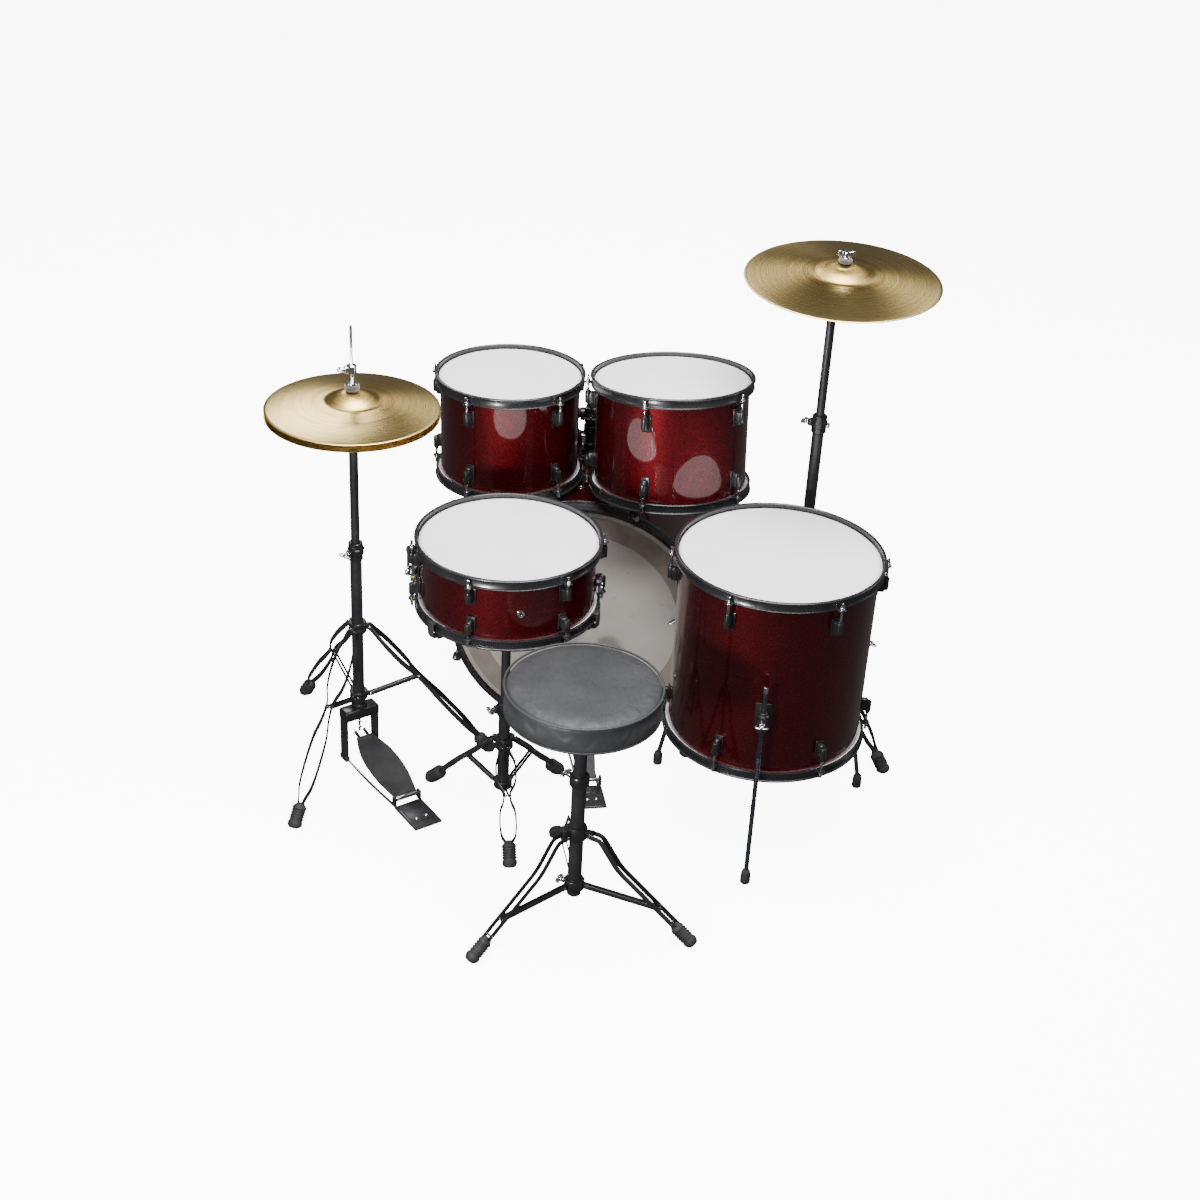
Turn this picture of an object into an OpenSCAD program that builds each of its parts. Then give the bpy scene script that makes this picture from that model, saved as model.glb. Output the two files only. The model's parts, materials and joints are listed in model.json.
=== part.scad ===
// Five-piece acoustic drum kit: bass drum, two rack toms, floor tom and snare,
// with hi-hats, a crash cymbal, a kick pedal and a round throne.
// The drummer sits on the -Y side and faces +Y, with the hi-hats on the -X side.

/* [Drums] */
// Outer diameter of the bass drum shell
bass_d = 559; // [520:1:600]
// Depth of the bass drum shell
bass_depth = 356; // [330:1:400]
// Outer diameter of the floor tom shell
floor_d = 405; // [380:1:410]
// Depth of the floor tom shell
floor_depth = 406; // [360:1:420]
// Outer diameter of the left rack tom shell
left_d = 303; // [280:1:305]
// Depth of the left rack tom shell
left_depth = 226; // [200:1:230]
// Outer diameter of the right rack tom shell
right_d = 329; // [300:1:332]
// Depth of the right rack tom shell
right_depth = 238; // [220:1:250]
// Outer diameter of the snare shell
snare_d = 352; // [340:1:354]
// Depth of the snare shell
snare_depth = 140; // [130:1:145]
// Thickness of every shell
shell_wall = 6; // [5:0.5:8]

/* [Cymbals] */
// Diameter of the hi-hat cymbals
hihat_d = 356; // [330:1:360]
// Diameter of the crash cymbal
crash_d = 406; // [380:1:420]
// Thickness of a cymbal
cymbal_t = 1.4; // [1.2:0.1:1.8]

/* [Playing heights] */
// Height of the snare's upper rim
snare_top = 676; // [670:1:690]
// Height of the floor tom's upper rim
floor_top = 645; // [640:1:650]
// Height of the left tom's upper rim
left_top = 825; // [815:1:830]
// Height of the right tom's upper rim
right_top = 858; // [852:1:868]
// Height of the upper hi-hat's edge
hihat_top = 852; // [848:1:856]
// Height of the crash's edge plane at its centre
crash_top = 1111; // [1105:1:1120]
// Height of the top of the throne's cushion
seat_top = 548; // [546:1:552]
// Diameter of the throne's cushion
seat_d = 314; // [300:1:316]

/* [Hidden] */
$fn = 64;

// Shift of the layout, so that the origin is under the middle of the whole kit
kit_x = -34.06;
kit_y = 196.36;

// Places, measured from the bass drum's axis and the face of its batter hoop
snare_at = [-125, -318];
floor_at = [418, -233];
left_at = [-185, 153];
right_at = [168, 123];
left_lean = [-1, -0.8, 0];
right_lean = [-5.9, -2.3, 0];
hihat_at = [-468, -159];
crash_at = [486, 84];
crash_lean = [3.9, 0, 0];
throne_at = [59, -632];
holder_at = [-12, 285];

// Finishes
wine = [0.32, 0.02, 0.04];
black = [0.06, 0.06, 0.065];
white = [0.93, 0.93, 0.91];
chrome = [0.80, 0.81, 0.83];
gold = [0.80, 0.68, 0.42];
vinyl = [0.20, 0.20, 0.21];

// Rims and heads, measured from the shell's radius and from its bearing edge
rim_up = 8;
rim_down = 10;
rim_out = 12.5;
head_t = 0.6;
rod_out = 17;
rod_r = 2.7;

// Bass drum
bass_r = bass_d / 2;
bass_edge = 12;
bass_len = bass_depth + 2 * bass_edge;
bass_hoop_in = bass_r + 2;
bass_hoop_out = bass_r + 10.5;
bass_hoop_w = 38;
bass_z = bass_hoop_out + 3;
bass_lugs = 8;
bass_rod_out = 21;
vent_at = [-18, 124];
mount_z = bass_z + bass_r;

// Tubes and clamps
tube_r = 12.7;
tube_bore = 10.2;
inner_r = 9.5;
clamp_r = 17;

// How much wider the round eye at the end of a bar is than half the bar, and a bend than its rod
eye = 0.4;

// Turns a radial part to each of n places
module around(n, first = 0) {
    for (i = [0 : n - 1]) rotate([0, 0, first + i * 360 / n]) children();
}

module kit() {
    translate([kit_x, kit_y, 0]) children();
}

// A ring of given radii between two heights
module ring(r_out, r_in, z0, z1) {
    translate([0, 0, z0]) difference() {
        cylinder(r = r_out, h = z1 - z0);
        translate([0, 0, -1]) cylinder(r = r_in, h = z1 - z0 + 2);
    }
}

// A round rod between two points
module rod(p, q, r) {
    d = q - p;
    translate(p) rotate([0, acos(d.z / norm(d)), atan2(d.y, d.x)]) cylinder(r = r, h = norm(d));
}

// A flat bar in the XZ plane with a round eye at each end, a little wider than the bar, its thickness along Y
module bar(p, q, w, t) {
    d = q - p;
    translate([p.x, -t / 2, p.y]) rotate([0, -atan2(d.y, d.x), 0]) translate([0, 0, -w / 2]) cube([norm(d), t, w]);
    for (e = [p, q]) translate([e.x, 0, e.y]) rotate([90, 0, 0]) cylinder(r = w / 2 + eye, h = t, center = true);
}

// A rivet or pin along Y
module cross_pin(p, r, length) {
    translate([p.x, 0, p.y]) rotate([90, 0, 0]) cylinder(r = r, h = length, center = true);
}

// A wing screw whose shank points along +X from the origin
module wing_screw(shank = 10) {
    rotate([0, 90, 0]) cylinder(r = 4, h = shank);
    translate([shank, 0, 0]) rotate([0, 90, 0]) cylinder(r = 6, h = 6);
    translate([shank + 3, -14, -3]) cube([3, 28, 6]);
    for (s = [-1, 1]) translate([shank + 3, s * 14, 0]) rotate([0, 90, 0]) cylinder(r = 6, h = 3);
}

// ---- drum pieces, on a vertical axis with z = 0 at mid depth ----

module shell_body(r, depth, wall) {
    h = depth / 2;
    rotate_extrude() polygon([[r - wall, -h + 5], [r - 1.5, -h], [r, -h], [r, h], [r - 1.5, h], [r - wall, h - 5]]);
}

module both_ends(depth) {
    translate([0, 0, depth / 2]) children();
    mirror([0, 0, 1]) translate([0, 0, depth / 2]) children();
}

module rim(r, lugs, first) {
    rotate_extrude() polygon([[r + 3, -4], [r + 6, -4], [r + 6, -rim_down], [r + 10, -rim_down], [r + 10, -8],
        [r + 7.8, -8], [r + 7.8, rim_up - 2], [r + rim_out, rim_up - 2], [r + rim_out, rim_up],
        [r + 6.2, rim_up], [r + 5.4, rim_up - 0.8], [r + 5.4, -2.5], [r + 3, -2.5]]);
    around(lugs, first) difference() {
        union() {
            translate([r + 7, -7, -rim_down]) cube([rod_out - 7, 14, 2]);
            translate([r + rod_out, 0, -rim_down]) cylinder(r = 7 + eye, h = 2);
        }
        translate([r + rod_out, 0, -rim_down - 1]) cylinder(r = rod_r + 0.5, h = 4);
    }
}

module rims(r, depth, lugs, first) {
    color(black) both_ends(depth) rim(r, lugs, first);
}

module head(r) {
    rotate_extrude() polygon([[0, 0], [r + 0.4, 0], [r + 0.4, -rim_down], [r + 5, -rim_down], [r + 5, -4.1],
        [r + 1.6, -4.1], [r + 1.6, head_t], [0, head_t]]);
}

module heads(r, depth) {
    color(white) both_ends(depth) head(r);
}

// One lug casting and its tension rod, at the place of the ear above it
module lug_and_rod(r, drop) {
    lug_h = 24;
    translate([r + 0.3, -9, -drop - lug_h / 2 - 5]) cube([3, 18, lug_h + 10]);
    difference() {
        union() {
            translate([r + 3, -4, -drop - lug_h / 2]) cube([rod_out - 3, 8, lug_h]);
            translate([r + rod_out, 0, -drop - lug_h / 2]) cylinder(r = 6.5, h = lug_h);
        }
        translate([r + rod_out, 0, -drop - lug_h / 2 + 4]) cylinder(r = rod_r + 0.2, h = lug_h);
    }
    translate([r + rod_out, 0, -drop - lug_h / 2 + 4.5]) cylinder(r = rod_r, h = drop + lug_h / 2);
    translate([r + rod_out, 0, -rim_down + 2.1]) cylinder(r = 6, h = 1.5);
    translate([r + rod_out, 0, -rim_down + 3.6]) cylinder(r = 4.4, h = 3);
    translate([r + rod_out - 2.7, -2.7, -rim_down + 6.6]) cube([5.4, 5.4, 6]);
}

module lugs_and_rods(r, depth, lugs, first, drop) {
    color(black) both_ends(depth) around(lugs, first) lug_and_rod(r, drop);
}

// ---- bass drum, on its own axis: z runs from the batter hoop's face ----

module bass() {
    kit() translate([0, 0, bass_z]) rotate([-90, 0, 0]) children();
}

module bass_drum_shell() {
    color(wine) difference() {
        bass() translate([0, 0, bass_len / 2]) shell_body(bass_r, bass_depth, shell_wall + 1);
        kit() translate([vent_at.x, vent_at.y, mount_z - 25]) cylinder(r = 5, h = 50);
        kit() translate([holder_at.x, holder_at.y, mount_z - 25]) cylinder(r = tube_r + 1, h = 50);
    }
}

module bass_drum_hoops() {
    color(black) bass() for (z = [0, bass_len - bass_hoop_w])
        translate([0, 0, z]) rotate_extrude() polygon([[bass_hoop_in, 2], [bass_hoop_in + 2, 0], [bass_hoop_out - 2, 0],
            [bass_hoop_out, 2], [bass_hoop_out, bass_hoop_w - 2], [bass_hoop_out - 2, bass_hoop_w],
            [bass_hoop_in + 2, bass_hoop_w], [bass_hoop_in, bass_hoop_w - 2]]);
}

module bass_drum_heads() {
    flesh = bass_hoop_w + 0.2;
    profile = [[0, bass_edge - head_t], [bass_r + 1.5, bass_edge - head_t], [bass_r + 1.5, flesh],
        [bass_r + 8, flesh], [bass_r + 8, flesh + 5], [bass_r + 0.4, flesh + 5], [bass_r + 0.4, bass_edge], [0, bass_edge]];
    color(white) bass() {
        rotate_extrude() polygon(profile);
        translate([0, 0, bass_len]) mirror([0, 0, 1]) rotate_extrude() polygon(profile);
    }
}

module bass_ends() {
    bass() {
        around(bass_lugs, 22.5) children();
        translate([0, 0, bass_len]) mirror([0, 0, 1]) around(bass_lugs, 22.5) children();
    }
}

module bass_drum_lugs() {
    lug_z = 78;
    lug_h = 34;
    color(black) bass_ends() {
        translate([bass_r + 0.3, -10, lug_z - 6]) cube([3, 20, lug_h + 12]);
        difference() {
            union() {
                translate([bass_r + 3, -5, lug_z]) cube([bass_rod_out - 3, 10, lug_h]);
                translate([bass_r + bass_rod_out, 0, lug_z]) cylinder(r = 8, h = lug_h);
            }
            translate([bass_r + bass_rod_out, 0, lug_z - 1]) cylinder(r = 3.6, h = 26);
        }
    }
    color(black) kit() {
        spur_bracket();
        mirror([1, 0, 0]) spur_bracket();
    }
}

module bass_drum_claws() {
    hook_t = 4;
    color(black) bass_ends() {
        translate([bass_hoop_in + 1, -11, -hook_t - 0.3]) cube([bass_hoop_out - bass_hoop_in + 12, 22, hook_t]);
        translate([bass_hoop_out + 0.4, -11, -hook_t - 0.3]) cube([4, 22, 34]);
        difference() {
            translate([bass_r + bass_rod_out, 0, -hook_t - 0.3]) cylinder(r = 7.5, h = 20);
            translate([bass_r + bass_rod_out, 0, -hook_t - 1]) cylinder(r = 3.4, h = 24);
        }
        translate([bass_r + bass_rod_out, 0, -hook_t - 0.5]) cylinder(r = 3.2, h = 104);
        translate([bass_r + bass_rod_out, 0, -hook_t - 6.5]) cylinder(r = 6, h = 6);
    }
}

module bass_drum_tom_mount() {
    color(black) difference() {
        kit() translate([holder_at.x, holder_at.y, mount_z]) {
            translate([-35, -28, -7]) cube([70, 56, 13]);
            translate([0, 0, 6]) cylinder(r = 22, h = 19);
            translate([0, -20, 15]) rotate([0, 0, -90]) wing_screw(6);
        }
        kit() translate([holder_at.x, holder_at.y, mount_z - 20]) cylinder(r = tube_r + 0.05, h = 80);
        bass() cylinder(r = bass_r + 0.05, h = bass_len, $fn = 360);
    }
}

spur_pivot = [bass_r + 29, 305, bass_z];
spur_axis_tilt = 15;

// Along the spur's hinge from its pivot: a bracket on the shell and the pin that the spur turns on
module spur_bracket() {
    translate(spur_pivot) rotate([0, 90 - spur_axis_tilt, 0]) {
        translate([0, 0, -24]) cylinder(r = 15, h = 17.7);
        translate([0, 0, -10]) cylinder(r = 4, h = 17);
    }
    translate([bass_r + 0.3, spur_pivot.y - 18, spur_pivot.z - 24]) cube([9, 36, 44]);
}

// One spur, drawn for the +X side: a turned pivot block, a splayed rod and a rubber tip
module spur() {
    foot = spur_pivot + [80, 108, -spur_pivot.z + 13];
    difference() {
        union() {
            translate(spur_pivot) rotate([0, 90 - spur_axis_tilt, 0]) cylinder(r = 15, h = 12, center = true);
            rod(spur_pivot, foot, 5.5);
        }
        translate(spur_pivot) rotate([0, 90 - spur_axis_tilt, 0]) cylinder(r = 4.05, h = 30, center = true);
    }
    translate([foot.x, foot.y, 0]) cylinder(r1 = 10, r2 = 9, h = 26);
}

module spur_right() {
    color(black) kit() spur();
}

module spur_left() {
    color(black) kit() mirror([1, 0, 0]) spur();
}

// ---- floor tom ----

floor_r = floor_d / 2;
floor_mid = floor_top - rim_up - floor_depth / 2;
leg_out = floor_r + 26;
leg_angles = [-93, 27, 147];
leg_top = 462;
leg_bend = 175;
foot_out = leg_out + 32;
leg_rod_r = 5;

module floor_tom() {
    kit() translate([floor_at.x, floor_at.y, floor_mid]) children();
}

module floor_tom_shell() {
    color(wine) floor_tom() shell_body(floor_r, floor_depth, shell_wall);
}

module floor_tom_hoops() {
    floor_tom() rims(floor_r, floor_depth, 6, 3);
}

module floor_tom_heads() {
    floor_tom() heads(floor_r, floor_depth);
}

module floor_tom_lugs() {
    floor_tom() lugs_and_rods(floor_r, floor_depth, 6, 3, 62);
    color(black) kit() translate([floor_at.x, floor_at.y, 0]) for (a = leg_angles) rotate([0, 0, a]) difference() {
        union() {
            translate([floor_r + 0.5, -16, 350]) cube([4, 32, 56]);
            translate([floor_r + 4, -9, 360]) cube([leg_out - floor_r - 4, 18, 36]);
            translate([leg_out, 0, 360]) cylinder(r = 11, h = 36);
            translate([leg_out + 10, 0, 378]) wing_screw(6);
        }
        translate([leg_out, 0, 340]) cylinder(r = leg_rod_r + 0.05, h = 80);
    }
}

module floor_tom_legs() {
    color([0.45, 0.48, 0.52]) kit() translate([floor_at.x, floor_at.y, 0]) for (a = leg_angles) rotate([0, 0, a]) {
        translate([leg_out, 0, leg_bend]) cylinder(r = leg_rod_r, h = leg_top - leg_bend);
        translate([leg_out, 0, leg_bend]) sphere(r = leg_rod_r + eye);
        rod([leg_out, 0, leg_bend], [foot_out, 0, 16], leg_rod_r);
        translate([foot_out, 0, 0]) cylinder(r1 = 11, r2 = 9, h = 28);
    }
}

// ---- rack toms and their holder ----

holder_clamp = 680;
arm_r = 5;
ball_r = 12;

module tom_holder() {
    color(black) kit() translate([holder_at.x, holder_at.y, 0]) {
        difference() {
            union() {
                translate([0, 0, mount_z - 40]) cylinder(r = tube_r, h = holder_clamp - mount_z + 55);
                translate([-16, -13, holder_clamp - 20]) cube([32, 26, 40]);
            }
            for (s = [-1, 1]) translate([s * 24, 0, holder_clamp]) sphere(r = ball_r + 0.4);
        }
        translate([0, -12, holder_clamp]) rotate([0, 0, -90]) wing_screw(6);
    }
}

left_r = left_d / 2;
right_r = right_d / 2;

// Where an arm runs down its tom, as a polar angle and the depths of its elbow and bracket below the upper rim
arm_gap = 18;
left_grip = [37.5, left_top - holder_clamp, left_top - holder_clamp + 46];
right_grip = [134, right_top - holder_clamp, right_top - holder_clamp + 32];

module left_rim() {
    kit() translate([left_at.x, left_at.y, left_top]) rotate(left_lean) children();
}

module right_rim() {
    kit() translate([right_at.x, right_at.y, right_top]) rotate(right_lean) children();
}

// A point of a leaning drum's frame, turned as rotate() turns it
function leaned(p, a) =
    let (y = p.y * cos(a.x) - p.z * sin(a.x), z = p.y * sin(a.x) + p.z * cos(a.x))
    [p.x * cos(a.y) + z * sin(a.y), y, z * cos(a.y) - p.x * sin(a.y)];

module tom_arm(side, at, top, lean, r, grip) {
    reach = r + arm_gap;
    turn = [reach * cos(grip.x), reach * sin(grip.x)];
    ball = [holder_at.x + side * 24, holder_at.y, holder_clamp];
    bend = [at.x, at.y, top] + leaned([turn.x, turn.y, -grip.y], lean);
    low = [at.x, at.y, top] + leaned([turn.x, turn.y, -grip.z - 30], lean);
    color(black) kit() {
        translate(ball) sphere(r = ball_r);
        rod(ball, bend, arm_r);
        translate(bend) sphere(r = arm_r + eye);
        rod(bend, low, arm_r);
    }
}

module tom_arm_left() {
    tom_arm(-1, left_at, left_top, left_lean, left_r, left_grip);
}

module tom_arm_right() {
    tom_arm(1, right_at, right_top, right_lean, right_r, right_grip);
}

// The bracket that holds the arm, fixed to the tom's shell
module tom_bracket(r, grip) {
    color(black) rotate([0, 0, grip.x]) translate([0, 0, -grip.z]) difference() {
        union() {
            translate([r + 0.8, -12, -22]) cube([arm_gap - 0.8, 24, 44]);
            translate([r + arm_gap, 0, -22]) cylinder(r = 11, h = 44);
        }
        translate([r + arm_gap, 0, -60]) cylinder(r = arm_r + 0.05, h = 120);
    }
}

module left_tom() {
    left_rim() translate([0, 0, -rim_up - left_depth / 2]) children();
}

module right_tom() {
    right_rim() translate([0, 0, -rim_up - right_depth / 2]) children();
}

module rack_tom_left_shell() {
    color(wine) left_tom() shell_body(left_r, left_depth, shell_wall);
}

module rack_tom_left_hoops() {
    left_tom() rims(left_r, left_depth, 5, 28);
}

module rack_tom_left_heads() {
    left_tom() heads(left_r, left_depth);
}

module rack_tom_left_lugs() {
    left_tom() lugs_and_rods(left_r, left_depth, 5, 28, 46);
    left_rim() tom_bracket(left_r, left_grip);
}

module rack_tom_right_shell() {
    color(wine) right_tom() shell_body(right_r, right_depth, shell_wall);
}

module rack_tom_right_hoops() {
    right_tom() rims(right_r, right_depth, 5, 38);
}

module rack_tom_right_heads() {
    right_tom() heads(right_r, right_depth);
}

module rack_tom_right_lugs() {
    right_tom() lugs_and_rods(right_r, right_depth, 5, 38, 46);
    right_rim() tom_bracket(right_r, right_grip);
}

// ---- snare drum ----

snare_r = snare_d / 2;
snare_mid = snare_top - rim_up - snare_depth / 2;

module snare() {
    kit() translate([snare_at.x, snare_at.y, snare_mid]) children();
}

module snare_shell() {
    color(wine) snare() difference() {
        shell_body(snare_r, snare_depth, shell_wall);
        rotate([0, 0, -75]) rotate([0, 90, 0]) cylinder(r = 5, h = snare_r + 10);
    }
}

module snare_hoops() {
    snare() rims(snare_r, snare_depth, 6, 13.5);
}

module snare_heads() {
    snare() heads(snare_r, snare_depth);
}

module snare_lugs() {
    snare() lugs_and_rods(snare_r, snare_depth, 6, 13.5, 36);
}

lever_x = -snare_r - 27;
lever_z = -20;

// Throw-off box on the left side, butt plate on the right
module snare_strainer() {
    color(chrome) snare() {
        translate([-snare_r - 22, -13, -30]) cube([21, 26, 46]);
        translate([-snare_r - 15, 0, 16]) cylinder(r = 6, h = 14);
        for (s = [-1, 1]) difference() {
            translate([lever_x - 5, s * 9.5 - 2.5, lever_z - 6]) cube([12, 5, 12]);
            translate([lever_x, 0, lever_z]) rotate([90, 0, 0]) cylinder(r = 2.55, h = 60, center = true);
        }
        translate([snare_r + 1, -14, -28]) cube([12, 28, 30]);
    }
}

module snare_throw_lever() {
    color(chrome) snare() {
        translate([lever_x - 2.5, -6, lever_z]) cube([5, 12, 50]);
        translate([lever_x, 0, lever_z]) rotate([90, 0, 0]) cylinder(r = 2.5, h = 24, center = true);
        translate([lever_x, 0, lever_z + 50]) rotate([90, 0, 0]) cylinder(r = 4.5, h = 12, center = true);
    }
}

module snare_wires() {
    under = -snare_depth / 2 - head_t - 0.3;
    color(chrome) snare() {
        for (i = [-9.5 : 1 : 9.5]) translate([-150, i * 2.6, under - 0.9]) rotate([0, 90, 0]) cylinder(r = 0.8, h = 300);
        for (s = [-1, 1]) translate([s * 155 - 6, -28, under - 1.6]) cube([12, 56, 1.5]);
    }
}

// ---- tripods: two-strip legs with braces, on a vertical tube ----

strip_gap = 8;
strip_t = 2;

module leg_strips(points, w, gap) {
    for (s = [-1, 1]) translate([0, s * gap, 0])
        for (i = [0 : len(points) - 2]) bar(points[i], points[i + 1], w, strip_t);
}

module rubber_foot(x) {
    translate([x, 0, 0]) difference() {
        cylinder(r1 = 17, r2 = 13, h = 24);
        for (z = [7, 13]) translate([0, 0, z]) difference() {
            cylinder(r = 20, h = 2.5);
            translate([0, 0, -1]) cylinder(r = 12.5, h = 5);
        }
    }
}

// A tripod that stays spread: leg angles, hub heights, the foot's radius and where the brace meets the leg
module tripod(angles, hub_z, low_z, foot_r, brace_r) {
    lean = (hub_z - 18) / (foot_r - 26);
    brace_z = hub_z - (brace_r - 26) * lean;
    for (a = angles) rotate([0, 0, a]) {
        leg_strips([[26, hub_z], [foot_r, 18]], 13, strip_gap);
        leg_strips([[26, low_z], [brace_r, brace_z]], 11, strip_gap - 4);
        cross_pin([26, hub_z], 3, 22);
        cross_pin([26, low_z], 3, 14);
        cross_pin([brace_r, brace_z], 3, 22);
        translate([tube_r, -6, hub_z - 6]) cube([15, 12, 12]);
        translate([tube_r, -2.5, low_z - 6]) cube([15, 5, 12]);
        rubber_foot(foot_r);
    }
    ring(20, tube_r - 1, hub_z - 12, hub_z + 12);
    ring(20, tube_r - 1, low_z - 9, low_z + 9);
}

module collar(z0, z1, aim) {
    ring(clamp_r, inner_r + 0.05, z0, z1);
    rotate([0, 0, aim]) translate([clamp_r - 1, 0, (z0 + z1) / 2]) wing_screw(8);
}

// ---- snare stand ----

snare_bottom = snare_top - 2 * rim_up - snare_depth;
basket_hub = snare_bottom - 44;
snare_clamp = 270;

module snare_stand() {
    kit() translate([snare_at.x, snare_at.y, 0]) children();
}

module snare_stand_base() {
    color(black) snare_stand() {
        ring(tube_r, tube_bore, 58, snare_clamp - 10);
        tripod([-78, 57, 152], 180, 74, 184, 96);
        collar(snare_clamp - 10, snare_clamp + 14, -150);
    }
}

module snare_stand_tube() {
    color(black) snare_stand() difference() {
        union() {
            translate([0, 0, 130]) cylinder(r = inner_r, h = basket_hub - 150);
            translate([-13, -11, basket_hub - 22]) cube([26, 22, 22]);
            for (s = [-1, 1]) translate([s * 10 - 3, -11, basket_hub - 2]) cube([6, 22, 12]);
            for (s = [-1, 1]) translate([s * 10 - 3, 0, basket_hub + 10]) rotate([0, 90, 0]) cylinder(r = 11, h = 6);
            translate([13, 0, basket_hub + 10]) wing_screw(4);
        }
        translate([-14, 0, basket_hub + 10]) rotate([0, 90, 0]) cylinder(r = 4.05, h = 27);
    }
}

arm_z = snare_bottom - 14;
basket_angles = [-134, -14, 106];

module snare_stand_basket() {
    hook = snare_r + rim_out;
    color(black) snare_stand() {
        translate([-5.5, 0, basket_hub + 10]) rotate([0, 90, 0]) cylinder(r = 9, h = 11);
        translate([-14, 0, basket_hub + 10]) rotate([0, 90, 0]) cylinder(r = 4, h = 26);
        translate([0, 0, basket_hub + 14]) cylinder(r = 5.4, h = arm_z - basket_hub - 8);
        translate([0, 0, arm_z - 6]) cylinder(r = 17, h = 12);
        for (a = basket_angles) rotate([0, 0, a]) {
            translate([12, -4.5, arm_z - 3]) cube([hook - 4, 9, 6.5]);
            translate([hook - 20, -8, arm_z + 3]) cube([28.5, 16, 10.8]);
            translate([hook + 1.5, -8, arm_z + 3]) cube([7, 16, 34]);
            translate([hook - 4, -8, arm_z + 32.5]) cube([12.5, 16, 4.5]);
        }
    }
}

// ---- hi-hat stand ----

hihat_r = hihat_d / 2;
hat_gap = 13;
hihat_low = hihat_top - hat_gap;
hat_clamp = 503;
hat_rise = 38;
heel_r = 214;
board_w = 66;
heel_z = 20;
toe_z = 66;
pedal_aim = -51;

module hihat() {
    kit() translate([hihat_at.x, hihat_at.y, 0]) children();
}

// Cymbal: cup, bow and edge, turned about its axis with z = 0 at the edge
function bow(r_edge, rise, r) = (rise * 0.45) * (1 - pow(r / r_edge, 2));
function cup(r_cup, rise, r) = r < r_cup ? rise * 0.55 * pow(cos(90 * r / r_cup), 0.8) : 0;

module cymbal_body(r_edge, rise, hole) {
    steps = 24;
    rs = [for (i = [0 : steps]) hole + (r_edge - hole) * i / steps];
    top = [for (r = rs) [r, bow(r_edge, rise, r) + cup(r_edge * 0.30, rise, r)]];
    rotate_extrude() polygon(concat([for (p = top) [p.x, p.y + cymbal_t]],
        [for (i = [steps : -1 : 0]) [top[i].x, top[i].y]]));
}

module hihat_stand_base() {
    color(black) hihat() {
        ring(tube_r, tube_bore, 132, hat_clamp);
        tripod([13, 127, 253], 338, 165, 284, 132);
        ring(clamp_r, inner_r + 0.05, hat_clamp, hat_clamp + 42);
        rotate([0, 0, -120]) translate([clamp_r - 1, 0, hat_clamp + 28]) wing_screw(8);
    }
}

module hihat_pedal_frame() {
    color(black) hihat() rotate([0, 0, pedal_aim]) {
        difference() {
            union() {
                for (s = [-1, 1]) translate([-14, s * 38 - 4, 0]) cube([28, 8, 118]);
                translate([-18, -42, 106]) cube([36, 84, 26]);
            }
            translate([0, 0, 100]) cylinder(r = 8, h = 60);
        }
        for (s = [-1, 1]) rod([10, s * 36, 6], [heel_r + 8, s * 30, 6], 3);
        difference() {
            translate([heel_r + 4, -board_w / 2, 0]) cube([96, board_w, 7]);
            translate([heel_r + 44, 0, -1]) cylinder(r = 8, h = 4);
        }
        for (s = [-1, 1]) translate([heel_r - 6, s * 30 - 3, 3]) cube([14, 6, 24]);
        for (s = [-1, 1]) translate([heel_r + 68, s * 12, 7]) cylinder(r = 4, h = 2);
    }
}

module hihat_footboard() {
    color(black) hihat() rotate([0, 0, pedal_aim]) {
        translate([heel_r, 0, heel_z]) rotate([0, -180 + atan2(toe_z - heel_z, heel_r), 0]) {
            translate([6, -26, -3]) cube([30, 52, 6]);
            translate([34, -38, -3]) cube([118, 76, 6]);
            translate([150, -19, -3]) cube([50, 38, 6]);
            for (s = [-1, 1]) translate([195, s * 11 - 4, -3]) cube([26, 8, 6]);
        }
        cross_pin([heel_r, heel_z], 5, 53);
    }
}

module hihat_tube() {
    seat_z = hihat_low - hat_rise - 9;
    color(black) hihat() {
        ring(inner_r, 6, 300, seat_z);
        ring(20, 6, seat_z, seat_z + 4);
        ring(16, 5, seat_z + 4, seat_z + 6);
    }
}

module hihat_bottom_cymbal() {
    color(gold) hihat() translate([0, 0, hihat_low]) mirror([0, 0, 1]) cymbal_body(hihat_r, hat_rise, 6.5);
}

module hihat_top_cymbal() {
    color(gold) hihat() translate([0, 0, hihat_top]) cymbal_body(hihat_r, hat_rise, 6.5);
}

rod_top = 1030;
chain_top = 114;
clutch_z = hihat_top + hat_rise + cymbal_t;

module hihat_rod() {
    lock_z = clutch_z + 56;
    color(chrome) hihat() {
        difference() {
            translate([0, 0, chain_top]) cylinder(r = 3, h = rod_top - chain_top);
            ring(4, 2.6, lock_z, lock_z + 1);
        }
        ring(5.8, 2.95, clutch_z - 14, lock_z);
        ring(11, 5.7, clutch_z - 12, clutch_z - 8);
        ring(15, 5.7, clutch_z + 1, clutch_z + 13);
        ring(9, 5.7, clutch_z + 15, lock_z);
        rotate([0, 0, 200]) translate([8, 0, clutch_z + 45]) wing_screw(6);
        rotate([0, 0, pedal_aim]) {
            bar([0, toe_z], [0, chain_top + 4], 6, 5);
            for (z = [toe_z : 8 : chain_top]) cross_pin([0, z], 3.6, 8);
        }
    }
}

// ---- crash stand ----

crash_r = crash_d / 2;
crash_rise = 36;
crash_clamp = 779;
tilt_drop = 26;
tilter_out = 14;

module crash_stand() {
    kit() translate([crash_at.x, crash_at.y, 0]) children();
}

module crash_head() {
    crash_stand() translate([tilter_out, 0, crash_top - tilt_drop]) rotate(crash_lean) children();
}

module crash_stand_base() {
    color(black) crash_stand() {
        ring(tube_r, tube_bore, 60, crash_clamp);
        tripod([-29.5, 90.5, 210.5], 345, 120, 254, 120);
        collar(crash_clamp, crash_clamp + 30, 160);
    }
}

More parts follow.
